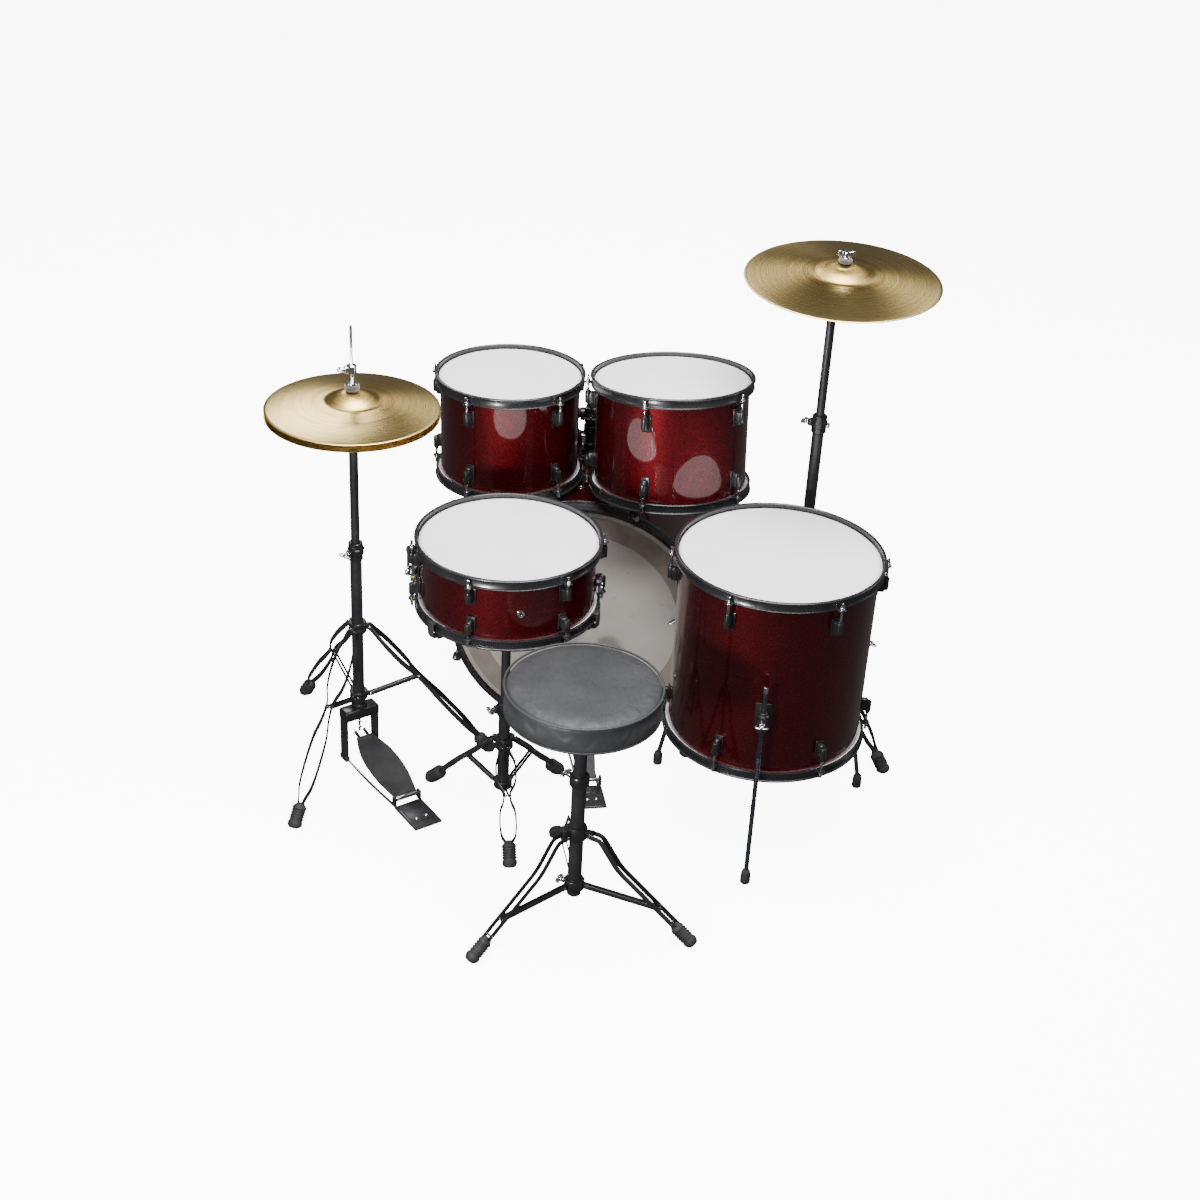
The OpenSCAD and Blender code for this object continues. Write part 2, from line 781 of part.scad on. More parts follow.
module crash_stand_tube() {
    pivot = crash_top - tilt_drop;
    color(black) crash_stand() difference() {
        union() {
            translate([0, 0, 520]) cylinder(r = inner_r, h = pivot - 540);
            translate([-11, -11, pivot - 26]) cube([tilter_out + 24, 22, 14]);
            for (s = [7, -13]) translate([tilter_out + s, -11, pivot - 26]) cube([6, 22, 26]);
            for (s = [7, -13]) translate([tilter_out + s, 0, pivot]) rotate([0, 90, 0]) cylinder(r = 11, h = 6);
            translate([tilter_out + 12, 0, pivot]) wing_screw(5);
        }
        translate([tilter_out - 14, 0, pivot]) rotate([0, 90, 0]) cylinder(r = 4.05, h = 27);
    }
}

module crash_tilter() {
    color(chrome) crash_head() {
        rotate([0, 90, 0]) cylinder(r = 9, h = 13, center = true);
        rotate([0, 90, 0]) cylinder(r = 4, h = 25, center = true);
        cylinder(r = 4, h = tilt_drop + crash_rise + 34);
        ring(16, 3.9, tilt_drop + crash_rise - 14, tilt_drop + crash_rise - 11);
        ring(14, 3.9, tilt_drop + crash_rise - 11, tilt_drop + crash_rise - 3);
        ring(14, 3.9, tilt_drop + crash_rise + 3, tilt_drop + crash_rise + 13);
        ring(8, 3.9, tilt_drop + crash_rise + 13.5, tilt_drop + crash_rise + 22);
        translate([-16, -1.5, tilt_drop + crash_rise + 16]) cube([32, 3, 8]);
    }
}

module crash_cymbal() {
    color(gold) crash_head() translate([0, 0, tilt_drop]) cymbal_body(crash_r, crash_rise, 6);
}

// ---- throne ----

throne_hub = 200;
throne_low = 72;
hinge_r = 28;
shoulder = [52, 197];
knee = [92, 137];
brace_at = [182, 67];
throne_foot = 240;
throne_lock = 318;
throne_first = 104;

module throne() {
    kit() translate([throne_at.x, throne_at.y, 0]) children();
}

module throne_base() {
    color(black) throne() {
        ring(14.3, 12.75, 46, throne_lock);
        ring(21, 14.2, throne_hub - 13, throne_hub + 13);
        around(3, throne_first) difference() {
            translate([20, -6, throne_hub - 9]) cube([15, 12, 18]);
            cross_pin([hinge_r, throne_hub], 3.05, 16);
        }
        ring(20, 12.75, throne_lock, throne_lock + 18);
        rotate([0, 0, 150]) translate([19, 0, throne_lock + 9]) wing_screw(8);
    }
}

module throne_leg(i) {
    foot = [throne_foot, 18];
    color(black) throne() rotate([0, 0, throne_first + i * 120]) {
        difference() {
            leg_strips([[hinge_r, throne_hub], shoulder, knee, foot], 14, strip_gap);
            cross_pin([hinge_r, throne_hub], 3.05, 30);
        }
        cross_pin([hinge_r, throne_hub], 3, 23);
        cross_pin([throne_foot - 30, 42], 3, 20);
        rubber_foot(throne_foot);
    }
}

module throne_leg_1() { throne_leg(0); }

module throne_leg_2() { throne_leg(1); }

module throne_leg_3() { throne_leg(2); }

// Braces swing between the leg strips; their outer pin is left open, with room all round
module throne_brace(i) {
    color(black) throne() rotate([0, 0, throne_first + i * 120]) {
        difference() {
            for (s = [-1, 1]) translate([0, s * 4.6, 0]) bar([hinge_r, throne_low], brace_at, 11, strip_t);
            cross_pin([hinge_r, throne_low], 3.05, 20);
        }
        cross_pin([hinge_r, throne_low], 3, 11.6);
        cross_pin(brace_at, 3, 11.6);
    }
}

module throne_brace_1() { throne_brace(0); }

module throne_brace_2() { throne_brace(1); }

module throne_brace_3() { throne_brace(2); }

module throne_collar() {
    color(black) throne() {
        ring(20.5, 14.35, throne_low - 11, throne_low + 11);
        around(3, throne_first) difference() {
            translate([19.5, -3, throne_low - 8]) cube([14, 6, 16]);
            cross_pin([hinge_r, throne_low], 3.05, 16);
        }
        rotate([0, 0, throne_first + 60]) translate([19, 0, throne_low]) wing_screw(8);
    }
}

plate_z = seat_top - 70;

module throne_post() {
    color(black) throne() {
        translate([0, 0, 170]) cylinder(r = 12.7, h = plate_z - 170 - 4);
        translate([0, 0, plate_z - 34]) cylinder(r = 17, h = 30);
    }
}

module throne_seat_plate() {
    color(black) throne() {
        translate([0, 0, plate_z - 3.7]) cylinder(r = 40, h = 3);
        translate([0, 0, plate_z - 0.7]) cylinder(r = seat_d / 2 - 22, h = 5.7);
    }
}

module throne_cushion() {
    r = seat_d / 2;
    h = seat_top - plate_z - 5.3;
    color(vinyl) throne() translate([0, 0, plate_z + 5.3]) rotate_extrude()
        polygon(concat([[0, 0], [r - 9, 0]],
            [for (a = [-80 : 20 : 0]) [r - 9 + 9 * cos(a), 9 + 9 * sin(a)]],
            [for (a = [0 : 15 : 75]) [r - 16 + 16 * cos(a), h - 24 + 16 * sin(a)]],
            [for (i = [6 : -1 : 0]) [(r - 16) * i / 7, h - 7 * pow(i / 7, 2)]]));
}

// ---- kick pedal, turned a little so that its heel points at the throne ----

pedal_turn = 14;
axle = [-24, 150];
kick_heel = -212;
beater_back = 35;
beater_len = 150;

module kick() {
    kit() rotate([0, 0, pedal_turn]) children();
}

// The same frame with X along the pedal, for parts drawn in the XZ plane
module kick_side() {
    kick() rotate([0, 0, 90]) children();
}

module kick_pedal_frame() {
    color(black) kick_side() {
        translate([-44, -46, 0]) cube([72, 92, 2.8]);
        translate([-12, -12, 2]) cube([7, 24, 15]);
        translate([-12, -12, 12.5]) cube([19, 24, 4.5]);
        for (s = [-1, 1]) difference() {
            translate([axle.x - 7, s * 42 - 4, 0]) cube([14, 8, axle.y + 12]);
            cross_pin(axle, 5.05, 200);
        }
        for (s = [-1, 1]) rod([-40, s * 24, 4.5], [kick_heel - 6, s * 22, 4.5], 3);
        difference() {
            translate([kick_heel - 84, -30, 0]) cube([80, 60, 7]);
            translate([kick_heel - 40, 0, -1]) cylinder(r = 7, h = 4);
        }
        for (s = [-1, 1]) translate([kick_heel - 6, s * 27 - 3, 3]) cube([12, 6, 24]);
        for (s = [-1, 1]) translate([kick_heel - 60, s * 10, 7]) cylinder(r = 4, h = 2);
    }
}

module kick_footboard() {
    rise = 54;
    run = axle.x - kick_heel;
    color(black) kick_side() {
        translate([kick_heel, 0, 18]) rotate([0, -atan2(rise, run), 0]) {
            translate([4, -23, -2.5]) cube([150, 46, 5]);
            translate([150, -15, -2.5]) cube([48, 30, 5]);
        }
        cross_pin([kick_heel, 18], 4.5, 47);
        translate([axle.x + 1, -8, 18 + rise - 3]) cube([3, 16, 48]);
    }
}

module kick_beater() {
    color(chrome) kick_side() {
        cross_pin(axle, 5, 96);
        cross_pin(axle, 14, 24);
        translate([axle.x, 0, axle.y]) rotate([0, -beater_back, 0]) {
            translate([0, 0, -16]) cylinder(r = 3.5, h = beater_len + 30);
            translate([0, 0, beater_len]) rotate([0, 90, 0]) cylinder(r = 22, h = 36, center = true);
        }
    }
}

bass_drum_shell();
bass_drum_hoops();
bass_drum_heads();
bass_drum_lugs();
bass_drum_claws();
bass_drum_tom_mount();
spur_left();
spur_right();
floor_tom_shell();
floor_tom_hoops();
floor_tom_heads();
floor_tom_lugs();
floor_tom_legs();
tom_holder();
tom_arm_left();
tom_arm_right();
rack_tom_left_shell();
rack_tom_left_hoops();
rack_tom_left_heads();
rack_tom_left_lugs();
rack_tom_right_shell();
rack_tom_right_hoops();
rack_tom_right_heads();
rack_tom_right_lugs();
snare_shell();
snare_hoops();
snare_heads();
snare_lugs();
snare_strainer();
snare_wires();
snare_throw_lever();
snare_stand_base();
snare_stand_tube();
snare_stand_basket();
hihat_stand_base();
hihat_pedal_frame();
hihat_tube();
hihat_bottom_cymbal();
hihat_rod();
hihat_top_cymbal();
hihat_footboard();
crash_stand_base();
crash_stand_tube();
crash_tilter();
crash_cymbal();
throne_base();
throne_leg_1();
throne_leg_2();
throne_leg_3();
throne_brace_1();
throne_brace_2();
throne_brace_3();
throne_collar();
throne_post();
throne_seat_plate();
throne_cushion();
kick_pedal_frame();
kick_footboard();
kick_beater();
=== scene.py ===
"""A five-piece drum kit: lacquered shells, enamelled hoops and stands, lathed cymbals and a vinyl throne.

Shapes are drawn in millimetres, in the frame of the drum or stand that they belong to, and a matrix puts them in place.
"""
import json
import math

import bmesh
import bpy
from mathutils import Matrix, Vector


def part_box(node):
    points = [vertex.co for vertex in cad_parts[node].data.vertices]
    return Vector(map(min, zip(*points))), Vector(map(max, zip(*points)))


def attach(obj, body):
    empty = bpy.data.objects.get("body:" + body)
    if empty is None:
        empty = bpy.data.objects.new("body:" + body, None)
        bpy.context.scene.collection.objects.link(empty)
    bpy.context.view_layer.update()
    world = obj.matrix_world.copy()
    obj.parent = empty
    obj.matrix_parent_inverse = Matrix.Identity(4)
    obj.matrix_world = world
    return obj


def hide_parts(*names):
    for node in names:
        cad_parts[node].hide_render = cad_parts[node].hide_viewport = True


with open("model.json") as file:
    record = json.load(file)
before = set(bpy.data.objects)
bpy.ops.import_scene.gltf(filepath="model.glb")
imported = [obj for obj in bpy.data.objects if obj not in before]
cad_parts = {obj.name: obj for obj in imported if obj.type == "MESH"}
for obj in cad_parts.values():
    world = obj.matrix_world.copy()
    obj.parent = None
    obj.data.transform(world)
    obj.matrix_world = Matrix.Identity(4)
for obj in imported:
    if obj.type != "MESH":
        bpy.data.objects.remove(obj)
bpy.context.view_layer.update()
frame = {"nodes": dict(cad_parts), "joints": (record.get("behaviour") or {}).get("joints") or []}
joints = {joint["name"]: joint for joint in frame["joints"]}
Z = Vector((0, 0, 1))


# ---- placing ----

def shift(x, y, z=0.0):
    """A move, in millimetres."""
    return Matrix.Translation((x, y, z))


def turn(degrees, axis):
    """A turn about an axis through the origin."""
    return Matrix.Rotation(math.radians(degrees), 4, axis)


def low(node):
    """The lowest corner of a node's box, in millimetres."""
    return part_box(node)[0] * 1000


def high(node):
    """The highest corner of a node's box, in millimetres."""
    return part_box(node)[1] * 1000


def middle(node):
    """The middle of a node's box."""
    return (low(node) + high(node)) / 2


def pivot(joint):
    """The point that a joint turns about, in millimetres."""
    return Vector(joints[joint]["pos_m"]) * 1000


def ring_of(count, first=0.0):
    """Turned frames, evenly spaced round Z."""
    return [turn(first + i * 360 / count, "Z") for i in range(count)]


def each(places, x, y, z=0.0):
    """Every place, moved the same way in its own frame."""
    return [p @ shift(x, y, z) for p in places]


# ---- shaping: each function gives a bmesh ----

def turned(outline, steps=96, angle=360.0):
    """An outline of (radius, height) points turned about the Z axis; a full turn closes on itself."""
    bm = bmesh.new()
    verts = [bm.verts.new((r, 0, z)) for r, z in outline]
    pairs = list(zip(verts, verts[1:] + verts[:1]))
    if outline[0][0] == 0 and outline[-1][0] == 0:
        pairs.pop()
    edges = [bm.edges.new(pair) for pair in pairs]
    full = angle == 360.0
    if not full:
        bmesh.ops.contextual_create(bm, geom=edges)
    geom = bm.verts[:] + bm.edges[:] + bm.faces[:]
    bmesh.ops.spin(bm, geom=geom, cent=(0, 0, 0), axis=Z, angle=math.radians(angle), steps=steps,
                   use_merge=full, use_duplicate=False)
    bmesh.ops.remove_doubles(bm, verts=bm.verts, dist=1e-4)
    bmesh.ops.recalc_face_normals(bm, faces=bm.faces)
    return bm


def softened(bm, radius, segments=2, sharper_than=30.0):
    """Rounds every edge whose faces meet at more than an angle."""
    limit = math.radians(sharper_than)
    edges = [e for e in bm.edges if len(e.link_faces) == 2 and e.calc_face_angle(0) > limit]
    bmesh.ops.bevel(bm, geom=edges, offset=radius, offset_type="OFFSET", segments=segments, profile=0.5,
                    affect="EDGES", material=-1, clamp_overlap=True)
    return bm


def block(x, y, z, radius=1.0, segments=2):
    """A rounded bar of metal or plastic, centred on the origin."""
    bm = bmesh.new()
    bmesh.ops.create_cube(bm, size=1)
    bmesh.ops.scale(bm, vec=(x, y, z), verts=bm.verts)
    return softened(bm, radius, segments)


def pillar(radius, bottom, top, edge=0.8, steps=32, upper=None):
    """A round bar or cone about Z with softened ends."""
    bm = bmesh.new()
    bmesh.ops.create_cone(bm, cap_ends=True, segments=steps, radius1=radius, radius2=upper or radius,
                          depth=top - bottom)
    bmesh.ops.translate(bm, vec=(0, 0, (top + bottom) / 2), verts=bm.verts)
    rims = [e for e in bm.edges if len(e.link_faces) == 2 and any(len(f.verts) > 4 for f in e.link_faces)]
    bmesh.ops.bevel(bm, geom=rims, offset=edge, offset_type="OFFSET", segments=2, profile=0.5,
                    affect="EDGES", material=-1, clamp_overlap=True)
    return bm


def ball(radius, steps=24):
    """A ball joint's ball."""
    bm = bmesh.new()
    bmesh.ops.create_uvsphere(bm, u_segments=steps, v_segments=steps // 2, radius=radius)
    return bm


def collar(outer, inner, bottom, top, edge=1.0, steps=64):
    """A ring with softened rims."""
    return turned([(inner, bottom), (outer - edge, bottom), (outer, bottom + edge), (outer, top - edge),
                   (outer - edge, top), (inner, top)], steps)


def curve(points, rounds=2):
    """Points cut at their corners a few times, so that the line bends smoothly through them."""
    line = [Vector(p) for p in points]
    for _ in range(rounds):
        cut = [line[0]]
        for a, b in zip(line, line[1:]):
            cut += [a.lerp(b, 0.25), a.lerp(b, 0.75)]
        line = cut + [line[-1]]
    return line


def drawn(points, wide, thick=None, sides=12, up=Z):
    """A bar drawn along a line. Its section is round, or a flat oval whose wide side lies nearest to up."""
    line = [Vector(p) for p in points]
    ways = [(b - a).normalized() for a, b in zip(line, line[1:])]
    ways = [ways[0]] + [(a + b).normalized() for a, b in zip(ways, ways[1:])] + [ways[-1]]
    bm = bmesh.new()
    ends = bmesh.ops.create_circle(bm, cap_ends=True, segments=sides, radius=0.5)["verts"]
    bmesh.ops.scale(bm, vec=(wide, thick or wide, 1), verts=ends)
    edges = bm.edges[:]
    was = Matrix()
    for point, way in zip(line, ways):
        side = up.cross(way)
        side = side.normalized() if side.length > 0.05 else Vector((0, 1, 0)).cross(way).normalized()
        flat = way.cross(side)
        now = Matrix((flat, side, way)).transposed().to_4x4()
        now.translation = point
        if point is not line[0]:
            made = bmesh.ops.extrude_edge_only(bm, edges=edges)["geom"]
            ends = [v for v in made if isinstance(v, bmesh.types.BMVert)]
            edges = [e for e in made if isinstance(e, bmesh.types.BMEdge)]
        bmesh.ops.transform(bm, matrix=now @ was.inverted(), verts=ends)
        was = now
    bmesh.ops.contextual_create(bm, geom=edges)
    bmesh.ops.recalc_face_normals(bm, faces=bm.faces)
    return bm


class Piece:
    """One visible piece, gathered from shaped parts in a frame of its own and kept in one mesh."""

    def __init__(self, name, body, slot, base, *finishes):
        self.name, self.body, self.slot, self.base, self.finishes = name, body, slot, base, finishes
        self.bm = bmesh.new()

    def add(self, part, places=None, finish=0):
        """Puts a shaped part in the piece at one place or several, with one of the piece's finishes."""
        mesh = bpy.data.meshes.new("part")
        part.to_mesh(mesh)
        part.free()
        for place in [Matrix()] if places is None else places if isinstance(places, list) else [places]:
            verts, faces = len(self.bm.verts), len(self.bm.faces)
            self.bm.from_mesh(mesh)
            self.bm.verts.ensure_lookup_table()
            self.bm.faces.ensure_lookup_table()
            bmesh.ops.transform(self.bm, matrix=place, verts=self.bm.verts[verts:])
            for face in self.bm.faces[faces:]:
                face.material_index = finish
        bpy.data.meshes.remove(mesh)
        return self

    def done(self, *nodes, sharp=40.0):
        bmesh.ops.transform(self.bm, matrix=Matrix.Scale(0.001, 4) @ self.base, verts=self.bm.verts)
        mesh = bpy.data.meshes.new(self.name)
        self.bm.to_mesh(mesh)
        self.bm.free()
        for finish in self.finishes:
            mesh.materials.append(finish)
        mesh.shade_smooth()
        mesh.set_sharp_from_angle(angle=math.radians(sharp))
        piece = bpy.data.objects.new(self.name, mesh)
        bpy.context.scene.collection.objects.link(piece)
        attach(piece, self.body)
        if nodes:
            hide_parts(*nodes)
        return piece


# ---- finishes ----

class Finish:
    """A procedural material on Object coordinates, whose shader is fed by the calls below."""

    def __init__(self, name, roughness, metallic=0.0, **sockets):
        self.material = bpy.data.materials.new(name)
        self.material.use_nodes = True
        self.tree = self.material.node_tree
        self.shader = self.tree.nodes["Principled BSDF"]
        self.set(self.shader, Roughness=roughness, Metallic=metallic)
        for socket, value in sockets.items():
            self.shader.inputs[socket.replace("_", " ")].default_value = value
        self.place = self.node("ShaderNodeTexCoord").outputs["Object"]
        self.bumps = None

    def node(self, kind, **settings):
        """A new node with some of its settings."""
        made = self.tree.nodes.new(kind)
        for key, value in settings.items():
            setattr(made, key, value)
        return made

    def set(self, node, **values):
        """Values for a node's input sockets."""
        for socket, value in values.items():
            node.inputs[socket.replace("_", " ")].default_value = value

    def link(self, start, end):
        self.tree.links.new(start, end)

    def noise(self, scale, detail=3.0, stretch=None):
        """Cloudy noise from 0 to 1, closer along an axis that is stretched more."""
        made = self.node("ShaderNodeTexNoise")
        self.set(made, Scale=scale, Detail=detail)
        place = self.place
        if stretch:
            mapping = self.node("ShaderNodeMapping")
            self.set(mapping, Scale=stretch)
            self.link(place, mapping.inputs["Vector"])
            place = mapping.outputs["Vector"]
        self.link(place, made.inputs["Vector"])
        return made.outputs["Fac"]

    def cells(self, scale):
        """Rounded cells, like the grain of leather."""
        made = self.node("ShaderNodeTexVoronoi")
        self.set(made, Scale=scale)
        self.link(self.place, made.inputs["Vector"])
        return made.outputs["Distance"]

    def band(self, value, start, end, to_low, to_high):
        """A value mapped from one range to another."""
        made = self.node("ShaderNodeMapRange")
        for socket, number in zip(("From Min", "From Max", "To Min", "To Max"), (start, end, to_low, to_high)):
            made.inputs[socket].default_value = number
        self.link(value, made.inputs["Value"])
        return made.outputs["Result"]

    def colours(self, value, *stops):
        """The base colour from a ramp of (position, colour) stops."""
        ramp = self.node("ShaderNodeValToRGB")
        elements = ramp.color_ramp.elements
        while len(elements) < len(stops):
            elements.new(0.5)
        for element, (position, colour) in zip(elements, stops):
            element.position = position
            element.color = (*colour, 1)
        self.link(value, ramp.inputs["Fac"])
        self.link(ramp.outputs["Color"], self.shader.inputs["Base Color"])

    def uneven(self, value, least, most):
        """Roughness that wanders between two values."""
        self.link(self.band(value, 0.3, 0.7, least, most), self.shader.inputs["Roughness"])

    def raised(self, value, strength, depth_mm):
        """Relief from a value; each one is laid over the last."""
        bump = self.node("ShaderNodeBump")
        self.set(bump, Strength=strength, Distance=depth_mm / 1000)
        self.link(value, bump.inputs["Height"])
        if self.bumps:
            self.link(self.bumps, bump.inputs["Normal"])
        self.bumps = bump.outputs["Normal"]
        self.link(self.bumps, self.shader.inputs["Normal"])


def tinted(colour, factor):
    """A colour made lighter or darker."""
    return tuple(min(1.0, c * factor) for c in colour)


def plain_finish(name, colour, roughness, metallic=0.0, spread=0.25, grain=900.0, relief=0.06, **sockets):
    """Paint, plastic or metal with a faint mottle, uneven gloss and a fine orange-peel or casting texture."""
    made = Finish(name, roughness, metallic, **sockets)
    wander = made.noise(22.0, 4.0)
    made.colours(wander, (0.3, tinted(colour, 1 - spread)), (0.7, tinted(colour, 1 + spread)))
    made.uneven(made.noise(60.0), roughness * 0.8, roughness * 1.25)
    made.raised(made.noise(grain, 2.0), relief, 0.4)
    return made.material


def lacquer_finish():
    """Deep wine lacquer: metal flake under a clear coat."""
    made = Finish("wine_lacquer", 0.46, 0.88, Coat_Weight=1.0, Coat_Roughness=0.02, Coat_IOR=1.5)
    flake = made.node("ShaderNodeTexVoronoi")
    made.set(flake, Scale=1400.0)
    made.link(made.place, flake.inputs["Vector"])
    speck = made.node("ShaderNodeSeparateColor")
    made.link(flake.outputs["Color"], speck.inputs["Color"])
    made.colours(speck.outputs["Red"], (0.0, WINE_DARK), (0.75, WINE), (1.0, WINE_BRIGHT))
    made.uneven(made.noise(300.0), 0.42, 0.50)
    return made.material


def film_finish(name, colour, roughness):
    """Sprayed plastic film with the pin-prick texture of its coating."""
    made = Finish(name, roughness, 0.0, Coat_Weight=0.15, Coat_Roughness=0.25)
    made.colours(made.noise(9.0, 5.0), (0.3, tinted(colour, 0.97)), (0.7, tinted(colour, 1.02)))
    made.uneven(made.noise(180.0), roughness * 0.85, roughness * 1.2)
    made.raised(made.noise(1300.0, 2.0), 0.1, 0.15)
    return made.material


def batter_finish():
    """Grey batter film with the smears of use."""
    made = Finish("bass_batter_film", 0.32, 0.0, Coat_Weight=0.5, Coat_Roughness=0.12)
    made.colours(made.noise(5.0, 6.0), (0.3, (0.33, 0.30, 0.275)), (0.7, (0.43, 0.40, 0.375)))
    made.uneven(made.noise(30.0), 0.26, 0.42)
    made.raised(made.noise(700.0, 3.0), 0.12, 0.2)
    return made.material


def bronze_finish(name, centre, axis, bell_r, edge_r):
    """Lathed cymbal metal: grooves round an axis, colour that wanders from bell to edge, and a brushed sheen."""
    made = Finish(name, 0.3, 1.0, Anisotropic=0.75)
    offset = made.node("ShaderNodeVectorMath", operation="SUBTRACT")
    made.link(made.place, offset.inputs[0])
    offset.inputs[1].default_value = centre
    across = made.node("ShaderNodeVectorMath", operation="CROSS_PRODUCT")
    across.inputs[0].default_value = axis
    made.link(offset.outputs["Vector"], across.inputs[1])
    reach = made.node("ShaderNodeVectorMath", operation="LENGTH")
    made.link(across.outputs["Vector"], reach.inputs[0])
    radius = reach.outputs["Value"]
    turned_way = made.node("ShaderNodeVectorTransform", vector_type="VECTOR", convert_from="OBJECT",
                           convert_to="WORLD")
    made.link(across.outputs["Vector"], turned_way.inputs[0])
    made.link(turned_way.outputs[0], made.shader.inputs["Tangent"])
    rings = made.node("ShaderNodeTexNoise", noise_dimensions="1D")
    made.set(rings, Scale=1.0, Detail=3.0)
    made.link(made.band(radius, 0.0, 1.0, 0.0, 900.0), rings.inputs["W"])
    broad = made.node("ShaderNodeTexNoise", noise_dimensions="1D")
    made.set(broad, Scale=1.0, Detail=2.0)
    made.link(made.band(radius, 0.0, 1.0, 0.0, 70.0), broad.inputs["W"])
    shade = made.node("ShaderNodeMath", operation="MULTIPLY_ADD")
    made.link(made.band(broad.outputs["Fac"], 0.3, 0.7, -0.5, 0.5), shade.inputs[0])
    shade.inputs[1].default_value = 0.5
    made.link(made.band(radius, bell_r * 0.7, edge_r, 0.25, 0.75), shade.inputs[2])
    made.colours(shade.outputs["Value"], (0.0, (0.56, 0.36, 0.10)), (0.5, (0.76, 0.55, 0.20)),
                 (1.0, (0.86, 0.67, 0.30)))
    made.uneven(rings.outputs["Fac"], 0.22, 0.38)
    made.raised(rings.outputs["Fac"], 0.35, 0.12)
    made.raised(made.noise(40.0), 0.05, 0.6)
    return made.material


def vinyl_finish():
    """Grained black-grey seat vinyl with a soft sheen."""
    made = Finish("seat_vinyl", 0.5, 0.0, Sheen_Weight=0.04, Sheen_Roughness=0.4, Specular_IOR_Level=0.4)
    made.colours(made.noise(14.0, 5.0), (0.3, (0.024, 0.025, 0.027)), (0.7, (0.036, 0.037, 0.039)))
    made.uneven(made.noise(120.0), 0.44, 0.58)
    made.raised(made.cells(650.0), 0.35, 0.35)
    made.raised(made.noise(1700.0), 0.15, 0.15)
    return made.material


def rubber_finish():
    """Matt black rubber, scuffed in patches."""
    made = Finish("black_rubber", 0.72)
    made.colours(made.noise(45.0, 5.0), (0.3, (0.010, 0.010, 0.011)), (0.7, (0.026, 0.026, 0.027)))
    made.uneven(made.noise(150.0), 0.6, 0.85)
    made.raised(made.noise(1200.0), 0.3, 0.2)
    return made.material


def felt_finish():
    """Pressed felt with a furry sheen."""
    made = Finish("dark_felt", 0.95, 0.0, Sheen_Weight=0.6, Sheen_Roughness=0.6)
    made.colours(made.noise(700.0, 4.0), (0.35, (0.012, 0.012, 0.013)), (0.7, (0.05, 0.05, 0.052)))
    made.raised(made.noise(1100.0, 6.0), 0.8, 0.6)
    return made.material


def ply_finish():
    """Bare ply inside a shell: grain that runs round the drum in bands."""
    made = Finish("shell_ply", 0.6)
    made.colours(made.noise(30.0, 6.0, (1, 1, 12)), (0.3, (0.32, 0.19, 0.10)), (0.7, (0.50, 0.33, 0.19)))
    made.raised(made.noise(90.0, 4.0, (1, 1, 10)), 0.2, 0.2)
    return made.material


WINE_DARK = (0.026, 0.0005, 0.0016)
WINE = (0.085, 0.0010, 0.0032)
WINE_BRIGHT = (0.34, 0.0045, 0.012)
lacquer = lacquer_finish()
ply = ply_finish()
film = film_finish("coated_film", (0.87, 0.87, 0.88), 0.5)
batter_film = batter_finish()
ring_film = plain_finish("muffling_ring", (0.22, 0.185, 0.16), 0.35, spread=0.15, relief=0.05)
enamel = plain_finish("black_enamel", (0.016, 0.016, 0.018), 0.27, Coat_Weight=0.35, Coat_Roughness=0.12)
satin = plain_finish("satin_black", (0.019, 0.019, 0.021), 0.36, relief=0.1)
casting = plain_finish("black_casting", (0.013, 0.013, 0.014), 0.3, grain=600.0, relief=0.12, Coat_Weight=0.2)
chrome = plain_finish("polished_chrome", (0.80, 0.81, 0.83), 0.09, 1.0, spread=0.04, relief=0.02)
steel = plain_finish("blued_steel", (0.20, 0.235, 0.275), 0.24, 1.0, spread=0.15, relief=0.05)
brass = plain_finish("brass_fitting", (0.70, 0.58, 0.28), 0.25, 1.0, spread=0.15, relief=0.05)
worn = plain_finish("worn_board", (0.022, 0.022, 0.024), 0.42, spread=0.4, grain=350.0, relief=0.25)
vinyl = vinyl_finish()
rubber = rubber_finish()
felt = felt_finish()


# ---- drums on an upright or leaning axis, drawn with z = 0 at mid depth ----

# Wall of a shell, reach of a hoop past the bearing edge and back along the shell, and the rods' distance from it
WALL = 6
RIM_UP = 8
RIM_DOWN = 14
ROD_OUT = 17

# Radius and depth of each shell, and the angle of its first lug
SNARE_R, SNARE_DEPTH, SNARE_FIRST = 176.0, 140.0, 13.5
FLOOR_R, FLOOR_DEPTH, FLOOR_FIRST = 202.5, 406.0, 3.0
LEFT_R, LEFT_DEPTH, LEFT_FIRST = 151.5, 226.0, 28.0
RIGHT_R, RIGHT_DEPTH, RIGHT_FIRST = 164.5, 238.0, 38.0
LEFT_LEAN = turn(-0.8, "Y") @ turn(-1.0, "X")
RIGHT_LEAN = turn(-2.3, "Y") @ turn(-5.9, "X")

# A bent arm's angle round its tom, and the depths below the rim of its bend and of the bracket that holds it
LEFT_GRIP = (37.5, 145.0, 191.0)
RIGHT_GRIP = (134.0, 178.0, 210.0)
ARM_GAP = 18

# First leg's angle, distance of the legs from the shell, reach of the feet, leg radius, height of the brackets
LEG_FIRST = -93
LEG_OUT = 26
LEG_SPLAY = 32
LEG_R = 5.0
LEG_HOLD = 378


def ends_of(depth):
    """Frames at a drum's two bearing edges, each with z pointing out of the drum."""
    return [shift(0, 0, depth / 2), shift(0, 0, -depth / 2) @ turn(180, "X")]


def rim_places(depth, lugs, first):
    """A frame for every rod: at the bearing edge, x pointing out of the shell. The lower ones face down."""
    upper, lower = ends_of(depth)
    return [upper @ place for place in ring_of(lugs, first)] + [lower @ place for place in ring_of(lugs, -first)]


